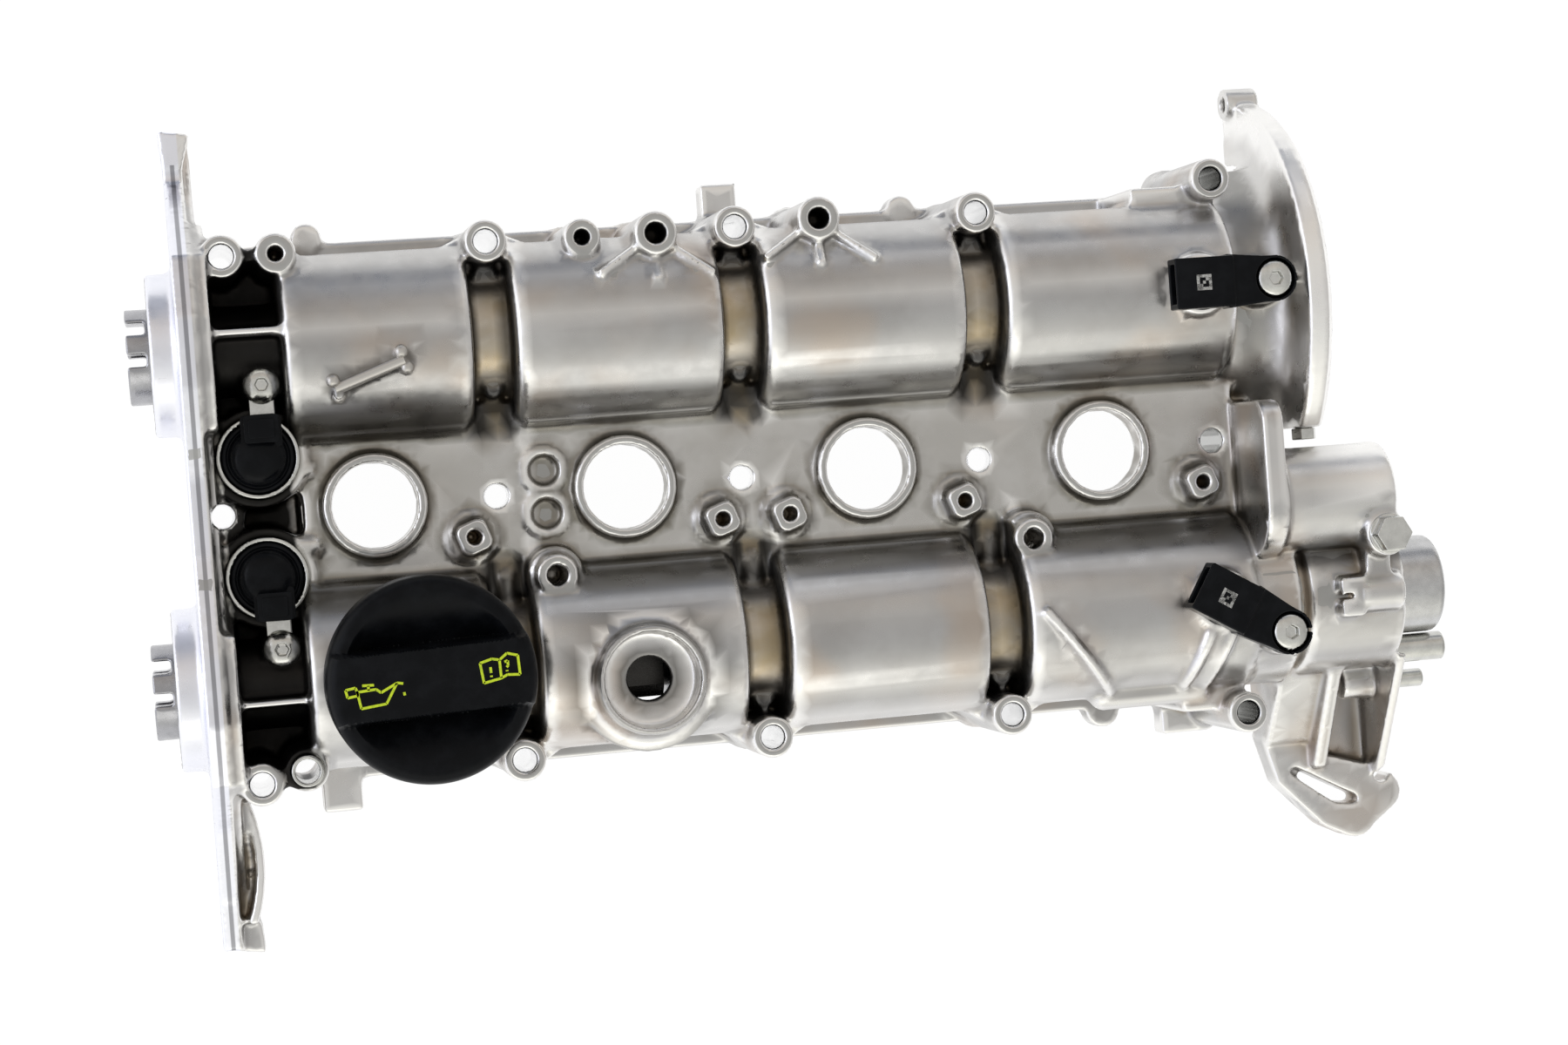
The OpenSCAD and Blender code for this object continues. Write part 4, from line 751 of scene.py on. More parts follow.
def grid_input(obj):
    """Points in millimetres, triangles and no quads of a mesh object."""
    mesh = obj.data
    mesh.calc_loop_triangles()
    triangles = np.empty(len(mesh.loop_triangles) * 3, np.int32)
    mesh.loop_triangles.foreach_get("vertices", triangles)
    return mesh_points(mesh), triangles.reshape(-1, 3), np.zeros((0, 4), np.int32)


def offset_surface(points, triangles, quads, step, offset, merging=0.0):
    """The surface moved outwards by an offset, and the grid that holds it."""
    grid = vdb.FloatGrid.createLevelSetFromPolygons(
        points,
        triangles=triangles,
        quads=quads,
        transform=vdb.createLinearTransform(voxelSize=step),
        halfWidth=abs(offset) / step + 3.0,
    )
    points, triangles, quads = grid.convertToPolygons(isovalue=offset, adaptivity=merging)
    kept = (
        np.ascontiguousarray(points, np.float32),
        np.ascontiguousarray(triangles, np.int32),
        np.ascontiguousarray(quads, np.int32),
    )
    return kept, grid


def mesh_from_arrays(name, points, triangles, quads):
    """A mesh from arrays in millimetres, its faces turned outwards."""
    triangles, quads = triangles[:, ::-1], quads[:, ::-1]
    corners = np.concatenate([triangles.ravel(), quads.ravel()]).astype(np.int32)
    starts = np.arange(0, triangles.size, 3)
    starts = np.concatenate([starts, np.arange(triangles.size, corners.size, 4)]).astype(np.int32)
    mesh = bpy.data.meshes.new(name)
    mesh.vertices.add(len(points))
    mesh.vertices.foreach_set("co", (points * MM).astype(np.float32).ravel())
    mesh.loops.add(len(corners))
    mesh.loops.foreach_set("vertex_index", corners)
    mesh.polygons.add(len(starts))
    mesh.polygons.foreach_set("loop_start", starts)
    mesh.update(calc_edges=True)
    mesh.validate()
    return mesh


def box_blur(values, reach):
    """The mean over a cube of 2 * reach + 1 steps a side."""
    for axis in range(3):
        pad = [(0, 0)] * 3
        pad[axis] = (reach + 1, reach)
        total = np.cumsum(np.pad(values, pad, mode="edge"), axis=axis, dtype=np.float32)
        high = np.take(total, range(2 * reach + 1, total.shape[axis]), axis=axis)
        low = np.take(total, range(0, total.shape[axis] - 2 * reach - 1), axis=axis)
        values = (high - low) / (2 * reach + 1)
    return values


def sampled(values, origin, step, points):
    """Values of a dense grid at points, blended between grid places."""
    place = (points / step) - origin
    base = np.floor(place).astype(int)
    base = np.clip(base, 0, np.array(values.shape) - 2)
    part = (place - base).astype(np.float32)
    total = np.zeros(len(points), np.float32)
    for corner in range(8):
        offset = np.array([corner >> 2 & 1, corner >> 1 & 1, corner & 1])
        weight = np.prod(np.where(offset, part, 1 - part), axis=1)
        index = base + offset
        total += weight * values[index[:, 0], index[:, 1], index[:, 2]]
    return total


def dense_grid(grid):
    """The distances of a grid as an array, and the grid place of its first value."""
    low, high = grid.evalActiveVoxelBoundingBox()
    low = np.array(low) - 4
    dense = np.zeros(tuple(int(n) for n in np.array(high) + 5 - low), np.float32)
    grid.copyToArray(dense, ijk=tuple(int(n) for n in low))
    return dense, low


def slope(dense, low, step, points):
    """The direction in which the distance grows at each point."""
    normals = np.empty((len(points), 3), np.float32)
    for axis in range(3):
        shift = np.zeros(3)
        shift[axis] = step
        ahead = sampled(dense, low, step, points + shift)
        normals[:, axis] = ahead - sampled(dense, low, step, points - shift)
    return normals / np.maximum(np.linalg.norm(normals, axis=1, keepdims=True), 1e-6)


def rounded_copy(source, name, step, fillet, rounding, triangles, material, slot):
    """A rounded copy of a CAD node that takes its place, with its dense grid of distances."""
    surface = grid_input(source)
    for offset, merging in ((fillet, 0.0), (-fillet - rounding, 0.0), (rounding, MERGING)):
        surface, grid = offset_surface(*surface, step, offset, merging)
    points, loose, quads = surface
    if not len(quads):
        raise RuntimeError("the rounded copy of " + source.name + " is empty")
    obj = bpy.data.objects.new(name, mesh_from_arrays(name, points, loose, quads))
    bpy.context.scene.collection.objects.link(obj)
    count = len(loose) + 2 * len(quads)
    if count > triangles:
        lean = obj.modifiers.new("lean", "DECIMATE")
        lean.ratio = triangles / count
        apply_modifiers(obj)

    dense, low = dense_grid(grid)
    normals = slope(dense, low, step, mesh_points(obj.data))
    obj.data.shade_smooth()
    obj.data.normals_split_custom_set_from_vertices([tuple(n) for n in normals.tolist()])
    obj.data.materials.clear()
    obj.data.materials.append(material)
    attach(obj, body_of(source)[0])
    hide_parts(source.name)
    return obj, dense, low


# Painted shade, painted highlights and stains of the casting


def ramp(values, low, high):
    """A smooth step from zero at low to one at high."""
    share = np.clip((values - low) / (high - low), 0.0, 1.0)
    return share * share * (3.0 - 2.0 * share)


def between(values, rise, fall):
    """One between two smooth steps, up over the first pair and down over the second."""
    return ramp(values, *rise) * (1.0 - ramp(values, *fall))


def barrel_painted_light_and_stains(x, y, z):
    """Golden oil stains on the groove floors with a painted glint in the slots, painted shade on the groove
    walls and inner flanks, and painted highlights on the groove rims of the two barrels.
    """
    from_web = np.min([np.abs(x - web) for web in WEBS], axis=0)
    gap = 1.0 - ramp(from_web, 6.9, 8.4)
    strip = 1.0 - ramp(np.min([np.abs(x - web + 0.6) for web in WEBS], axis=0), 2.6, 5.4)
    middle = 1.0 - ramp(from_web, 1.8, 4.0)
    for cam_y, outward in ((EXHAUST_Y, 1.0), (INTAKE_Y, -1.0)):
        radius = np.hypot(y - cam_y, z - CAM_Z)
        angle = np.degrees(np.arctan2((y - cam_y) * outward, z - CAM_Z))
        above = gap * ramp(z, 20.0, 24.0) * (radius < 34.0)
        floor = above * (1.0 - ramp(radius, 22.6, 24.0))
        side = above * between(radius, (22.3, 23.6), (28.3, 30.8))
        ends = np.maximum(ramp(angle, 22.0, 44.0), 1.0 - ramp(angle, -52.0, -30.0))
        # Groove floors take a golden oil stain; the groove walls and floor ends take painted shade
        yield "gold", floor * (1.0 - 0.5 * ends)
        yield "dark", np.maximum(0.88 * side, 0.72 * floor * np.maximum(ends, 1.0 - strip))
        # Slots below the grooves: painted shade at the sides and a painted golden glint down the middle
        slot = gap * between(-outward * (y - cam_y), (19.0, 22.0), (33.0, 36.0))
        slot = slot * between(z, (28.0, 31.0), (37.0, 39.5))
        yield "dark", 0.9 * slot * (1.0 - middle)
        yield "gold", slot * middle
        # Painted highlights on the rounded barrel ends beside each groove
        for web in WEBS:
            rim = between(x - web, (6.8, 7.6), (9.2, 13.0))
            yield "bright", 0.75 * rim * (radius > 30.0) * (z > 20.0)
        # Painted shade on the inner flanks, strongest at the timing end of the exhaust barrel
        flank_shade = ramp(-angle, 30.0, 58.0) * (1.0 - 0.75 * ramp(-angle, 70.0, 84.0))
        flank_shade = flank_shade * (np.abs(radius - BARREL_R) < 2.6) * (x > -149.5) * (x < 171.0)
        strength = 1.0 - 0.45 * ramp(x, -110.0, -60.0) if outward > 0 else 0.8
        yield "shade", 0.92 * flank_shade * strength


def recess_painted_shade(x, y, z):
    """Painted shade with oil in the recesses behind the timing flange, left off the tops of their two ribs."""
    recess = between(x, (-171.4, -170.4), (-149.8, -148.2)) * between(z, (9.5, 11.0), (51.9, 52.3))
    rib = (np.abs(y - 59.6) < 1.6) * ramp(z, 55.0, 57.0)
    rib = rib + (np.abs(y + 58.5) < 1.6) * ramp(z, 51.0, 53.0)
    yield "dark", recess * (np.abs(y) < 86.5) * (1.0 - np.minimum(rib, 1.0))


def bell_painted_light(x, y, z):
    """Painted shade in the gap beside the side pipe and on the bell's neck, and a painted highlight on its rim.
    """
    gap = ramp(x, 184.0, 188.0) * between(y, (-46.0, -42.0), (-38.5, -35.0)) * (z > 20.0)
    yield "dark", 0.85 * gap * (1.0 - ramp(z, 52.0, 57.0))
    radius = np.hypot(y - 50.2, z)
    neck = between(x, (172.5, 175.0), (184.5, 188.0)) * (y > -8.0) * (z > 18.0)
    yield "shade", 0.55 * neck * (1.0 - ramp(radius, 62.0, 68.0))
    rim = ramp(x, 187.5, 190.0) * ramp(radius, 56.0, 62.0)
    yield "bright", rim * (y > -20.0) * (1.0 - ramp(y, 118.0, 122.0))


def mark_painted_shade(x, y, z):
    """Painted contact shade round the raised mark."""
    from_front = (x - MARK_FRONT[0], y - MARK_FRONT[1])
    along = (from_front[0] * MARK_RUN[0] + from_front[1] * MARK_RUN[1]) / MARK_RUN.dot(MARK_RUN)
    along = np.clip(along, 0.0, 1.0)
    off_mark = np.hypot(from_front[0] - along * MARK_RUN[0], from_front[1] - along * MARK_RUN[1])
    yield "shade", 0.7 * (z > 45.0) * (1.0 - ramp(off_mark, 2.2, 4.6))


def pump_seat_painted_light(x, y, z):
    """Painted highlights and painted shade in rings round the pump seat, and painted shade in its bore."""
    radius = np.hypot(x - PUMP[0], y - PUMP[1])
    above = z > 50.0
    yield "bright", 0.9 * above * between(radius, (12.2, 14.2), (16.0, 16.8))
    yield "bright", 0.8 * above * between(radius, (19.3, 20.3), (21.8, 23.0))
    yield "shade", 0.7 * above * (1.0 - ramp(radius, 9.5, 12.2))
    yield "shade", 0.45 * above * between(radius, (15.9, 16.6), (17.4, 18.6))
    yield "shade", 0.5 * above * between(radius, (22.0, 23.6), (25.0, 28.5))
    yield "dark", 0.9 * (1.0 - ramp(radius, 7.3, 7.9))


def painted_light_and_stain_masks(points):
    """Where the casting is golden, bored, and takes painted shade and painted highlights, from its points in
    millimetres.
    """
    x, y, z = points.T
    names = ("gold", "dark", "bore", "valley", "shade", "bright")
    masks = {name: np.zeros(len(x), np.float32) for name in names}
    for region in (barrel_painted_light_and_stains, recess_painted_shade, bell_painted_light, mark_painted_shade, pump_seat_painted_light):
        for name, values in region(x, y, z):
            masks[name] = np.maximum(masks[name], values)
    for hole_x, hole_y in BORES:
        away = np.hypot(x - hole_x, y - hole_y)
        masks["bore"] = np.maximum(masks["bore"], 1.0 - ramp(away, BORE_R + 0.2, BORE_R + 0.7))
    masks["dark"] = masks["dark"] * (1.0 - masks["bore"])
    # Tapped holes take near-black painted shade
    for hole_x, hole_y, hole_r in TAPPED:
        inside = 1.0 - ramp(np.hypot(x - hole_x, y - hole_y), hole_r + 0.1, hole_r + 0.5)
        masks["dark"] = np.maximum(masks["dark"], 0.97 * inside)
    valley = (1.0 - ramp(z, 39.4, 43.5)) * (1.0 - ramp(np.abs(y - PLUG_Y), 24.0, 36.0))
    masks["valley"] = valley * between(x, (-150.0, -146.0), (168.0, 172.0))
    return masks


# Steps that build the pieces


class VALVECOVER_OT_casting(bpy.types.Operator):
    """Rounds the casting's edges and corners, and gives it its cast finish with painted shade and painted
    highlights
    """

    bl_idname = "valvecover.casting"
    bl_label = "Casting"

    def execute(self, context):
        chosen = settings().casting
        obj, dense, low = rounded_copy(
            frame["nodes"]["camshaft_housing"],
            "cast_cover",
            chosen.voxel,
            chosen.fillet,
            chosen.rounding,
            chosen.triangles,
            cast_aluminium(chosen),
            "cast_aluminium",
        )
        points = mesh_points(obj.data)
        solid = (dense < 0).astype(np.float32)
        masks = painted_light_and_stain_masks(points)
        # Convex edges take wear with painted highlights; hollows take dirt with painted shade
        masks["edge"] = 1.0 - sampled(box_blur(solid, 2), low, chosen.voxel, points)
        masks["hollow"] = sampled(box_blur(solid, 8), low, chosen.voxel, points)
        for name, values in masks.items():
            layer = obj.data.attributes.new(name, "FLOAT", "POINT")
            layer.data.foreach_set("value", np.ascontiguousarray(values, np.float32))
        return {"FINISHED"}


def on_barrel(x, across, lift):
    """A point on the exhaust barrel, at a distance from its axis line and lifted off its skin."""
    up = math.sqrt(BARREL_R**2 - across * across)
    share = 1.0 + lift / BARREL_R
    return (x, EXHAUST_Y + across * share, CAM_Z + up * share)


class VALVECOVER_OT_casting_mark(bpy.types.Operator):
    """Builds the raised dumb-bell mark on the first exhaust barrel"""

    bl_idname = "valvecover.casting_mark"
    bl_label = "Casting mark"

    def execute(self, context):
        front = np.array([MARK_FRONT[0], MARK_FRONT[1] - EXHAUST_Y])
        across = np.array([-MARK_RUN[1], MARK_RUN[0]]) / np.linalg.norm(MARK_RUN)
        points, faces, steps, sides = [], [], 28, 20
        for i in range(steps + 1):
            for j in range(sides):
                angle = math.tau * j / sides
                spot = front + MARK_RUN * i / steps + across * MARK_HALF_WIDTH * math.cos(angle)
                lift = MARK_LIFT + MARK_HALF_HEIGHT * math.sin(angle)
                points.append(on_barrel(spot[0], spot[1], lift))
        for i in range(steps):
            for j in range(sides):
                k = (j + 1) % sides
                low, high = i * sides, (i + 1) * sides
                faces.append([low + j, high + j, high + k, low + k])
        faces.append(list(range(sides)))
        faces.append([steps * sides + j for j in reversed(range(sides))])
        parts = [(points, faces)]

        turns = [math.radians(a) for a in range(0, 181, 12)]
        ball = [(MARK_BALL_R * math.sin(a), -MARK_BALL_R * math.cos(a)) for a in turns]
        ball[0], ball[-1] = (0.0, -MARK_BALL_R), (0.0, MARK_BALL_R)
        for spot in (front, front + MARK_RUN):
            for side in (-MARK_BALL_SIDE, MARK_BALL_SIDE):
                parts.append(moved(turned(ball, 32), on_barrel(spot[0] - side / 3, spot[1] + side, 0.6)))
        # The frame's own aluminium, which is paler and plainer than the casting's finish
        material = bpy.data.materials["cast_aluminium"]
        piece("casting_mark", joined(*parts), material, "root", smooth=60.0)
        return {"FINISHED"}


def finishes():
    """The materials of the fitted pieces by slot, made once."""
    chosen = settings().fittings
    rows = {
        "seal_rubber": lambda name: moulded_plastic(name, chosen.rubber, 0.5),
        "bearing_steel": lambda name: plain_metal(name, chosen.bearing, 0.22),
        "plated_steel": lambda name: plain_metal(name, chosen.plated, 0.2),
        "camshaft_steel": lambda name: plain_metal(name, chosen.shaft, 0.22, 0.4),
        "black_plastic": lambda name: moulded_plastic(name, chosen.plastic, 0.2),
        "cast_aluminium": lambda name: plain_metal(name, (0.6, 0.6, 0.6), 0.26, 0.5),
    }
    made = {}
    for slot, make in rows.items():
        name = slot + "_finish"
        made[slot] = bpy.data.materials.get(name) or make(name)
    return made


def dress_group(group):
    """Rounds each piece of a group and gives it its finish."""
    made = finishes()
    slots = {row["node"]: row["material_slot"] for row in frame["record"]["subparts"]}
    for name, sizes in SMALL_PIECES[group].items():
        slot = slots[name]
        rounded_copy(frame["nodes"][name], name + "_piece", *sizes, made[slot], slot)


class VALVECOVER_OT_metal_parts(bpy.types.Operator):
    """Gives the camshafts, bearings, seals and plated pieces their finishes"""

    bl_idname = "valvecover.metal_parts"
    bl_label = "Camshafts, bearings and seals"

    def execute(self, context):
        made = finishes()
        # The camshaft tubes and pump cam, seen only through openings, take a near-black oily steel with painted
        # shade
        tube_oil_and_shade = plain_metal("oily_shaded_steel", settings().fittings.tube_oil_and_shade, 0.3)
        for row in frame["record"]["subparts"]:
            name = row["node"]
            if name == "camshaft_housing":
                continue
            hidden = name in ("intake_pump_cam", "intake_cam_tube", "exhaust_cam_tube")
            materials = frame["nodes"][name].data.materials
            materials.clear()
            materials.append(tube_oil_and_shade if hidden else made[row["material_slot"]])
        return {"FINISHED"}


class VALVECOVER_OT_fasteners(bpy.types.Operator):
    """Rounds the bolts, brackets, plugs, pins and caps"""

    bl_idname = "valvecover.fasteners"
    bl_label = "Fasteners and plugs"

    def execute(self, context):
        dress_group("fasteners")
        return {"FINISHED"}


class VALVECOVER_OT_shaft_ends(bpy.types.Operator):
    """Rounds the slotted shaft ends and the seals round them"""

    bl_idname = "valvecover.shaft_ends"
    bl_label = "Shaft ends and seals"

    def execute(self, context):
        dress_group("shaft_ends")
        return {"FINISHED"}


class VALVECOVER_OT_sensors(bpy.types.Operator):
    """Builds the camshaft sensors with a plain printed patch on each"""

    bl_idname = "valvecover.sensors"
    bl_label = "Sensors"

    def execute(self, context):
        dress_group("sensors")
        ink, _, shader, _ = new_material("sensor_print", specular=0.3)
        shader.inputs["Base Color"].default_value = rgb(settings().fittings.sensor_print)
        shader.inputs["Roughness"].default_value = 0.6
        cells = []
        last = PATCH_CELLS - 1
        for row in range(PATCH_CELLS):
            for column in range(PATCH_CELLS):
                if row in (0, last) or column in (0, last) or (row * 2 + column) % 3 == 0:
                    x = PATCH_CORNER[0] + column * PATCH_STEP
                    y = PATCH_CORNER[1] + row * PATCH_STEP
                    x1, y1 = x + PATCH_CELL, y + PATCH_CELL
                    cells.append(prism([(x, y), (x1, y), (x1, y1), (x, y1)], 0.0, PATCH_DEPTH))
        for name, y, turn in (("exhaust", EXHAUST_Y, 0.0), ("intake", INTAKE_Y + 2.2, -31.0)):
            patch = moved(joined(*cells), (PROBE_X, y, SENSOR_TOP_Z), turn)
            piece(name + "_sensor_patch", patch, ink, "root")
        return {"FINISHED"}


class VALVECOVER_OT_control_valves(bpy.types.Operator):
    """Builds the control valves: steel cans with black plug heads"""

    bl_idname = "valvecover.control_valves"
    bl_label = "Control valves"

    def execute(self, context):
        dress_group("valve_cans")
        plastic = finishes()["black_plastic"]
        for name, y in VALVE_Y.items():
            outward = math.copysign(1.0, y)
            parts = [moved(turned(PLUG_DOME), (VALVE_X, y, 0.0))]
            for x0, x1, half, corner, z0, z1, away in PLUG_BLOCKS:
                outline = rounded([(x0, -half), (x1, -half), (x1, half), (x0, half)], corner)
                parts.append(moved(prism(outline, z0, z1), (VALVE_X, y + outward * away, 0.0)))
            head = name + "_valve_head"
            piece(name + "_valve_plug", joined(*parts), plastic, "root", [head], edge=0.35)
        return {"FINISHED"}


def cap_height(x, y):
    """Height of the cap's top surface, in the grip's own frame."""
    radius = math.hypot(x, y)
    across = abs(y) - CAP_GRIP / 2
    edge = max(0.0, (radius - (CAP_R - 4.0)) / 4.0)
    drop = 2.6 * edge**2
    crown = CAP_TOP_Z - 0.4 * (radius / CAP_R) ** 2
    if across <= 0:
        return crown - drop
    shoulder = CAP_TOP_Z - CAP_STEP - 0.35 * (radius / CAP_R) ** 2
    reach = math.sqrt(max((CAP_R - 5.0) ** 2 - x * x, 0.0)) - CAP_GRIP / 2
    depth = 0.0
    if reach > 1.0 and across < reach:
        depth = CAP_SCOOP * (1 - across / reach) ** 1.4 * min(1.0, reach / 8.0)
    wall = min(1.0, across / 1.2)
    return crown - drop - wall * (crown - shoulder + depth)


def cap_body():
    """The cap's top, rim, underside and skirt as one closed solid."""
    verts, faces = [(0.0, 0.0, cap_height(0.0, 0.0))], []
    for k in range(1, CAP_ROWS + 1):
        radius = CAP_R * (k / CAP_ROWS) ** 0.9 * CAP_TOP_SHARE
        verts += [(x, y, cap_height(x, y)) for x, y, _ in ring_points(radius, 0.0, CAP_COUNT)]
    outer = 1 + (CAP_ROWS - 1) * CAP_COUNT
    rim = [(0.975, 0.0), (0.99, -1.0), (1.0, -2.6), (1.0, None)]
    for share, fall in rim:
        for i in range(CAP_COUNT):
            x, y, z = verts[outer + i]
            scale = CAP_R * share / math.hypot(x, y)
            verts.append((x * scale, y * scale, CAP_RIM_Z if fall is None else z - 0.9 + fall))
    rows = CAP_ROWS + len(rim)
    low = 1 + (rows - 1) * CAP_COUNT
    inner = len(verts)
    foot = inner + CAP_COUNT
    verts += ring_points(CAP_SKIRT_R, CAP_RIM_Z, CAP_COUNT)
    verts += ring_points(CAP_SKIRT_R, CAP_FOOT_Z, CAP_COUNT)
    for i in range(CAP_COUNT):
        j = (i + 1) % CAP_COUNT
        faces.append([0, 1 + i, 1 + j])
        for row in range(rows - 1):
            a, b = 1 + row * CAP_COUNT, 1 + (row + 1) * CAP_COUNT
            faces.append([a + i, b + i, b + j, a + j])
    for i in range(CAP_COUNT):
        j = (i + 1) % CAP_COUNT
        faces.append([low + i, inner + i, inner + j, low + j])
        faces.append([inner + i, foot + i, foot + j, inner + j])
    faces.append([foot + i for i in range(CAP_COUNT)])
    return verts, faces


class VALVECOVER_OT_filler_cap(bpy.types.Operator):
    """Builds the oil filler cap with its grip, scoops and printed signs"""

    bl_idname = "valvecover.filler_cap"
    bl_label = "Filler cap"

    def execute(self, context):
        chosen = settings().fittings
        turn = math.degrees(chosen.cap_turn)
        plastic = moulded_plastic("cap_plastic", chosen.plastic, 0.4)
        body = moved(cap_body(), CAP_PLACE, turn)
        piece("filler_cap", body, plastic, "oil_cap", ["oil_cap"], smooth=38)

        ink, tree, shader, where = new_material("cap_print", specular=0.4)
        worn = spread(tree, noise(tree, where, 900.0, 2.0), 0.4, 0.7)
        lit = blend(tree, worn, rgb(chosen.cap_print), (0.45, 0.6, 0.02, 1.0))
        tree.links.new(lit, shader.inputs["Base Color"])
        shader.inputs["Roughness"].default_value = 0.5
        lines = [stroke(line, SIGN_WIDTH, CAP_TOP_Z - 0.6, CAP_TOP_Z + 0.06) for line in OIL_CAN + OPEN_BOOK]
        piece("filler_cap_signs", moved(joined(*lines), CAP_PLACE, turn), ink, "oil_cap")
        return {"FINISHED"}


class VALVECOVER_OT_stage(bpy.types.Operator):
    """Sets up the camera, the pale floor and the soft light"""

    bl_idname = "valvecover.stage"
    bl_label = "Stage"

    def execute(self, context):
        scene = context.scene
        chosen = settings().stage
        self.camera(scene, chosen)
        self.floor(scene, chosen)
        self.lamps(scene, chosen)
        self.sky(scene, chosen)
        scene.view_settings.view_transform = "Standard"
        return {"FINISHED"}

    @staticmethod
    def camera(scene, chosen):
        """The camera in the photograph's view."""
        data = bpy.data.cameras.new("camera")
        data.lens = chosen.lens
        data.sensor_width = 36.0
        data.clip_end = 50.0
        camera = bpy.data.objects.new("camera", data)
        scene.collection.objects.link(camera)
        rx, ry, rz = chosen.camera_turns
        seen = Matrix.Rotation(rz, 3, "Z") @ Matrix.Rotation(rx, 3, "X") @ Matrix.Rotation(ry, 3, "Y")
        camera.matrix_world = Matrix.Translation(chosen.camera_place) @ seen.transposed().to_4x4()
        scene.camera = camera

    @staticmethod
    def floor(scene, chosen):
        """A pale floor that shows white to the camera and in mirrors, with faint shadows."""
        half = chosen.floor_size / 2
        mesh = bpy.data.meshes.new("floor")
        corners = [(-half, -half), (half, -half), (half, half), (-half, half)]
        mesh.from_pydata([(x, y, FLOOR_Z) for x, y in corners], [], [[0, 1, 2, 3]])
        floor = bpy.data.objects.new("floor", mesh)
        scene.collection.objects.link(floor)
        material, tree, shader, where = new_material("floor")
        soft = noise(tree, where, 3.0, 2.0)
        pale = blend(tree, soft, (0.86, 0.86, 0.86, 1.0), (0.9, 0.9, 0.9, 1.0))
        tree.links.new(pale, shader.inputs["Base Color"])
        shader.inputs["Roughness"].default_value = 0.9
        glow = node(tree, "ShaderNodeEmission", {"Color": (1.0, 1.0, 1.0, 1.0), "Strength": FLOOR_GLOW})
        path = node(tree, "ShaderNodeLightPath").outputs
        seen = maths(tree, "MAXIMUM", path["Is Camera Ray"], path["Is Glossy Ray"])
        seen = maths(tree, "MAXIMUM", seen, path["Is Transmission Ray"])
        share = times(tree, seen, 1.0 - chosen.floor_shadow)
        mixed = node(tree, "ShaderNodeMixShader", {0: share, 1: shader.outputs[0], 2: glow.outputs[0]})
        tree.links.new(mixed.outputs[0], tree.nodes["Material Output"].inputs["Surface"])
        mesh.materials.append(material)

    @staticmethod
    def lamps(scene, chosen):
        """Three faint soft lamps."""
        for name, place, wide, high, share, colour in LAMPS:
            data = bpy.data.lights.new(name, "AREA")
            data.shape = "RECTANGLE"
            data.size = wide
            data.size_y = high
            data.energy = chosen.key * share
            data.color = colour
            lamp = bpy.data.objects.new(name, data)
            lamp.location = place
            lamp.rotation_euler = (Vector(AIM) - Vector(place)).to_track_quat("-Z", "Y").to_euler()
            scene.collection.objects.link(lamp)

    @staticmethod
    def sky(scene, chosen):
        """A soft sky in bands for light and mirrors, white to the camera."""
        world = bpy.data.worlds.new("studio")
        scene.world = world
        world.use_nodes = True
        tree = world.node_tree
        lit = tree.nodes["Background"]
        axes = split_axes(tree, node(tree, "ShaderNodeTexCoord").outputs["Generated"])
        bands = node(tree, "ShaderNodeValToRGB", {0: spread(tree, axes[1], -1.0, 1.0, smooth=False)})
        stops = bands.color_ramp.elements
        while len(stops) < len(SKY_BANDS):
            stops.new(0.5)
        for stop, (place, colour) in zip(stops, SKY_BANDS):
            stop.position = place
            stop.color = rgb(colour)
        front = spread(tree, axes[0], -0.97, -0.5, 0.9, 0.0)
        rear = spread(tree, axes[0], 0.4, 0.9, 0.0, 0.8)
        colour = blend(tree, front, bands.outputs[0], rgb(SKY_FRONT))
        colour = blend(tree, rear, colour, rgb(SKY_REAR))
        tree.links.new(colour, lit.inputs["Color"])
        lit.inputs["Strength"].default_value = chosen.sky
        white = node(tree, "ShaderNodeBackground", {"Color": (1.0, 1.0, 1.0, 1.0), "Strength": 1.0})
        camera_ray = node(tree, "ShaderNodeLightPath").outputs["Is Camera Ray"]
        mixed = node(tree, "ShaderNodeMixShader", {0: camera_ray, 1: lit.outputs[0], 2: white.outputs[0]})
        tree.links.new(mixed.outputs[0], tree.nodes["World Output"].inputs["Surface"])


class VALVECOVER_PT_sidebar(bpy.types.Panel):
    """Lists the steps that build the valve cover"""

    bl_idname = "VALVECOVER_PT_sidebar"
    bl_label = "Valve Cover"
    bl_space_type = "VIEW_3D"
    bl_region_type = "UI"
    bl_category = "Valve Cover"

    def draw(self, context):
        for step in STEPS:
            self.layout.operator(step.bl_idname)


STEPS = [
    VALVECOVER_OT_stage,
    VALVECOVER_OT_metal_parts,
    VALVECOVER_OT_casting,
    VALVECOVER_OT_casting_mark,
    VALVECOVER_OT_fasteners,
    VALVECOVER_OT_shaft_ends,
    VALVECOVER_OT_sensors,
    VALVECOVER_OT_control_valves,
    VALVECOVER_OT_filler_cap,
]
GROUPS = [ValveCoverCasting, ValveCoverFittings, ValveCoverStage, ValveCoverSettings]
CLASSES = [*GROUPS, *STEPS, VALVECOVER_PT_sidebar]


def register():
    """Adds the classes and the scene's settings."""
    for item in CLASSES:
        bpy.utils.register_class(item)
    bpy.types.Scene.valve_cover = bpy.props.PointerProperty(type=ValveCoverSettings)


def unregister():
    """Takes the classes and the scene's settings away."""
    del bpy.types.Scene.valve_cover
    for item in reversed(CLASSES):
        bpy.utils.unregister_class(item)


def main():
    """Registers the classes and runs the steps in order."""
    register()
    bpy.ops.valvecover.stage()
    bpy.ops.valvecover.metal_parts()
    bpy.ops.valvecover.casting()
    bpy.ops.valvecover.casting_mark()
    bpy.ops.valvecover.fasteners()
    bpy.ops.valvecover.shaft_ends()
    bpy.ops.valvecover.sensors()
    bpy.ops.valvecover.control_valves()
    bpy.ops.valvecover.filler_cap()


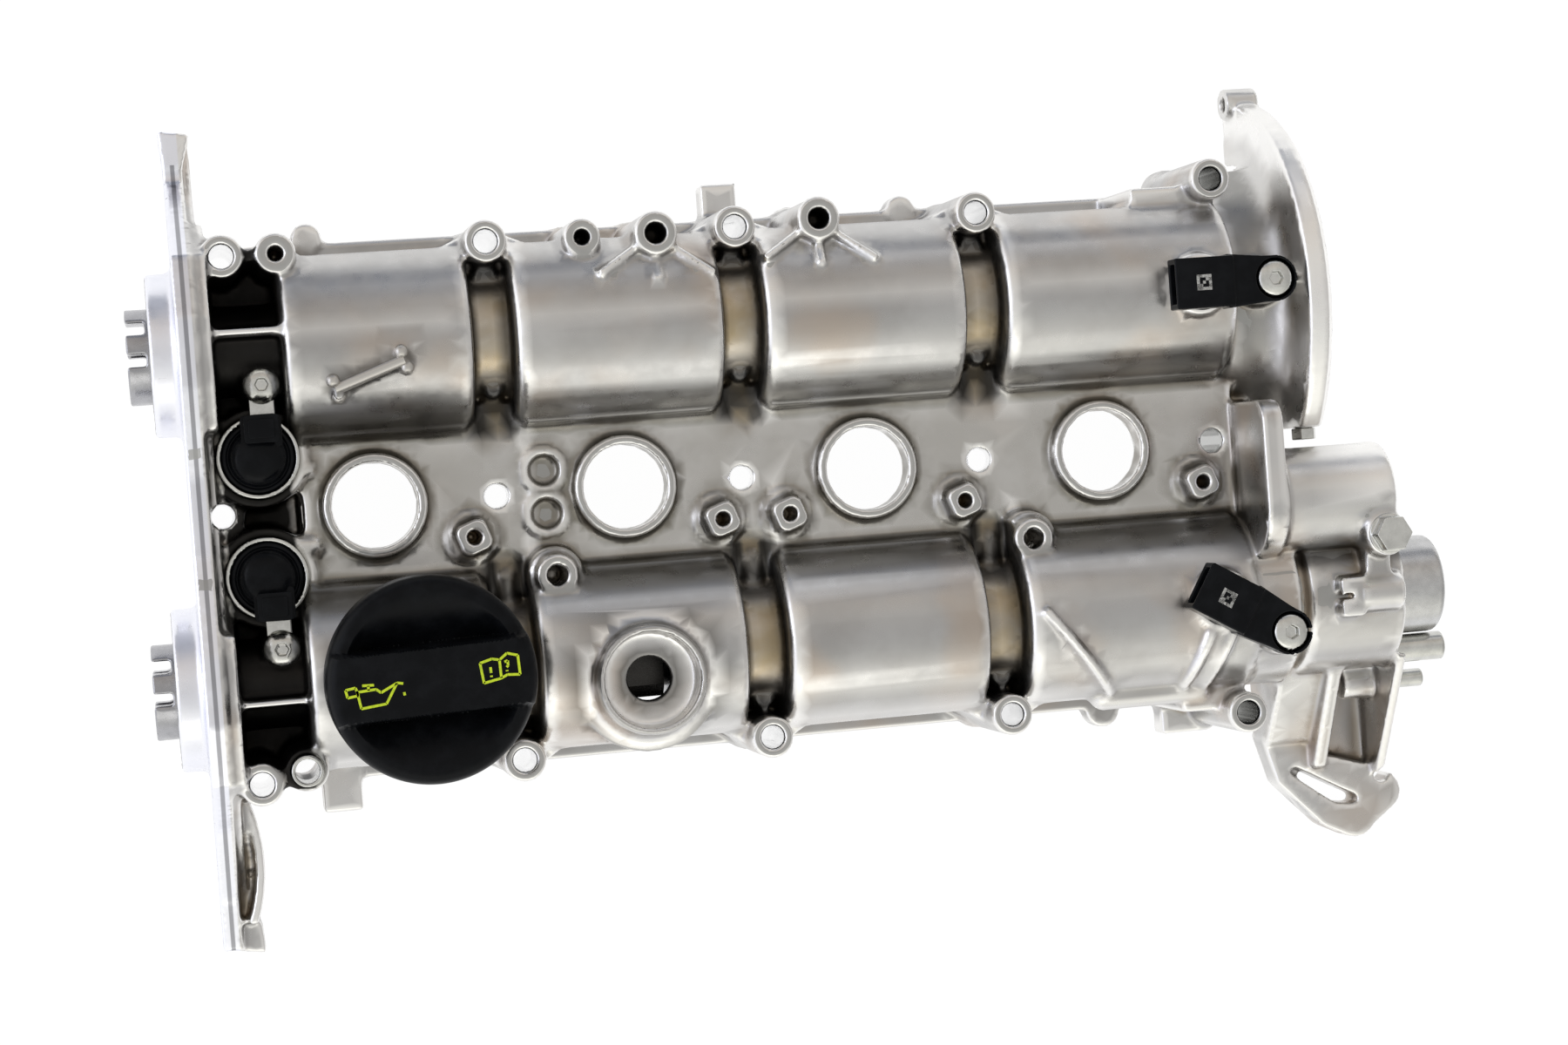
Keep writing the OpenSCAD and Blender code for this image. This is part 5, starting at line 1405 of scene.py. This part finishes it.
if __name__ == "__main__":
    main()
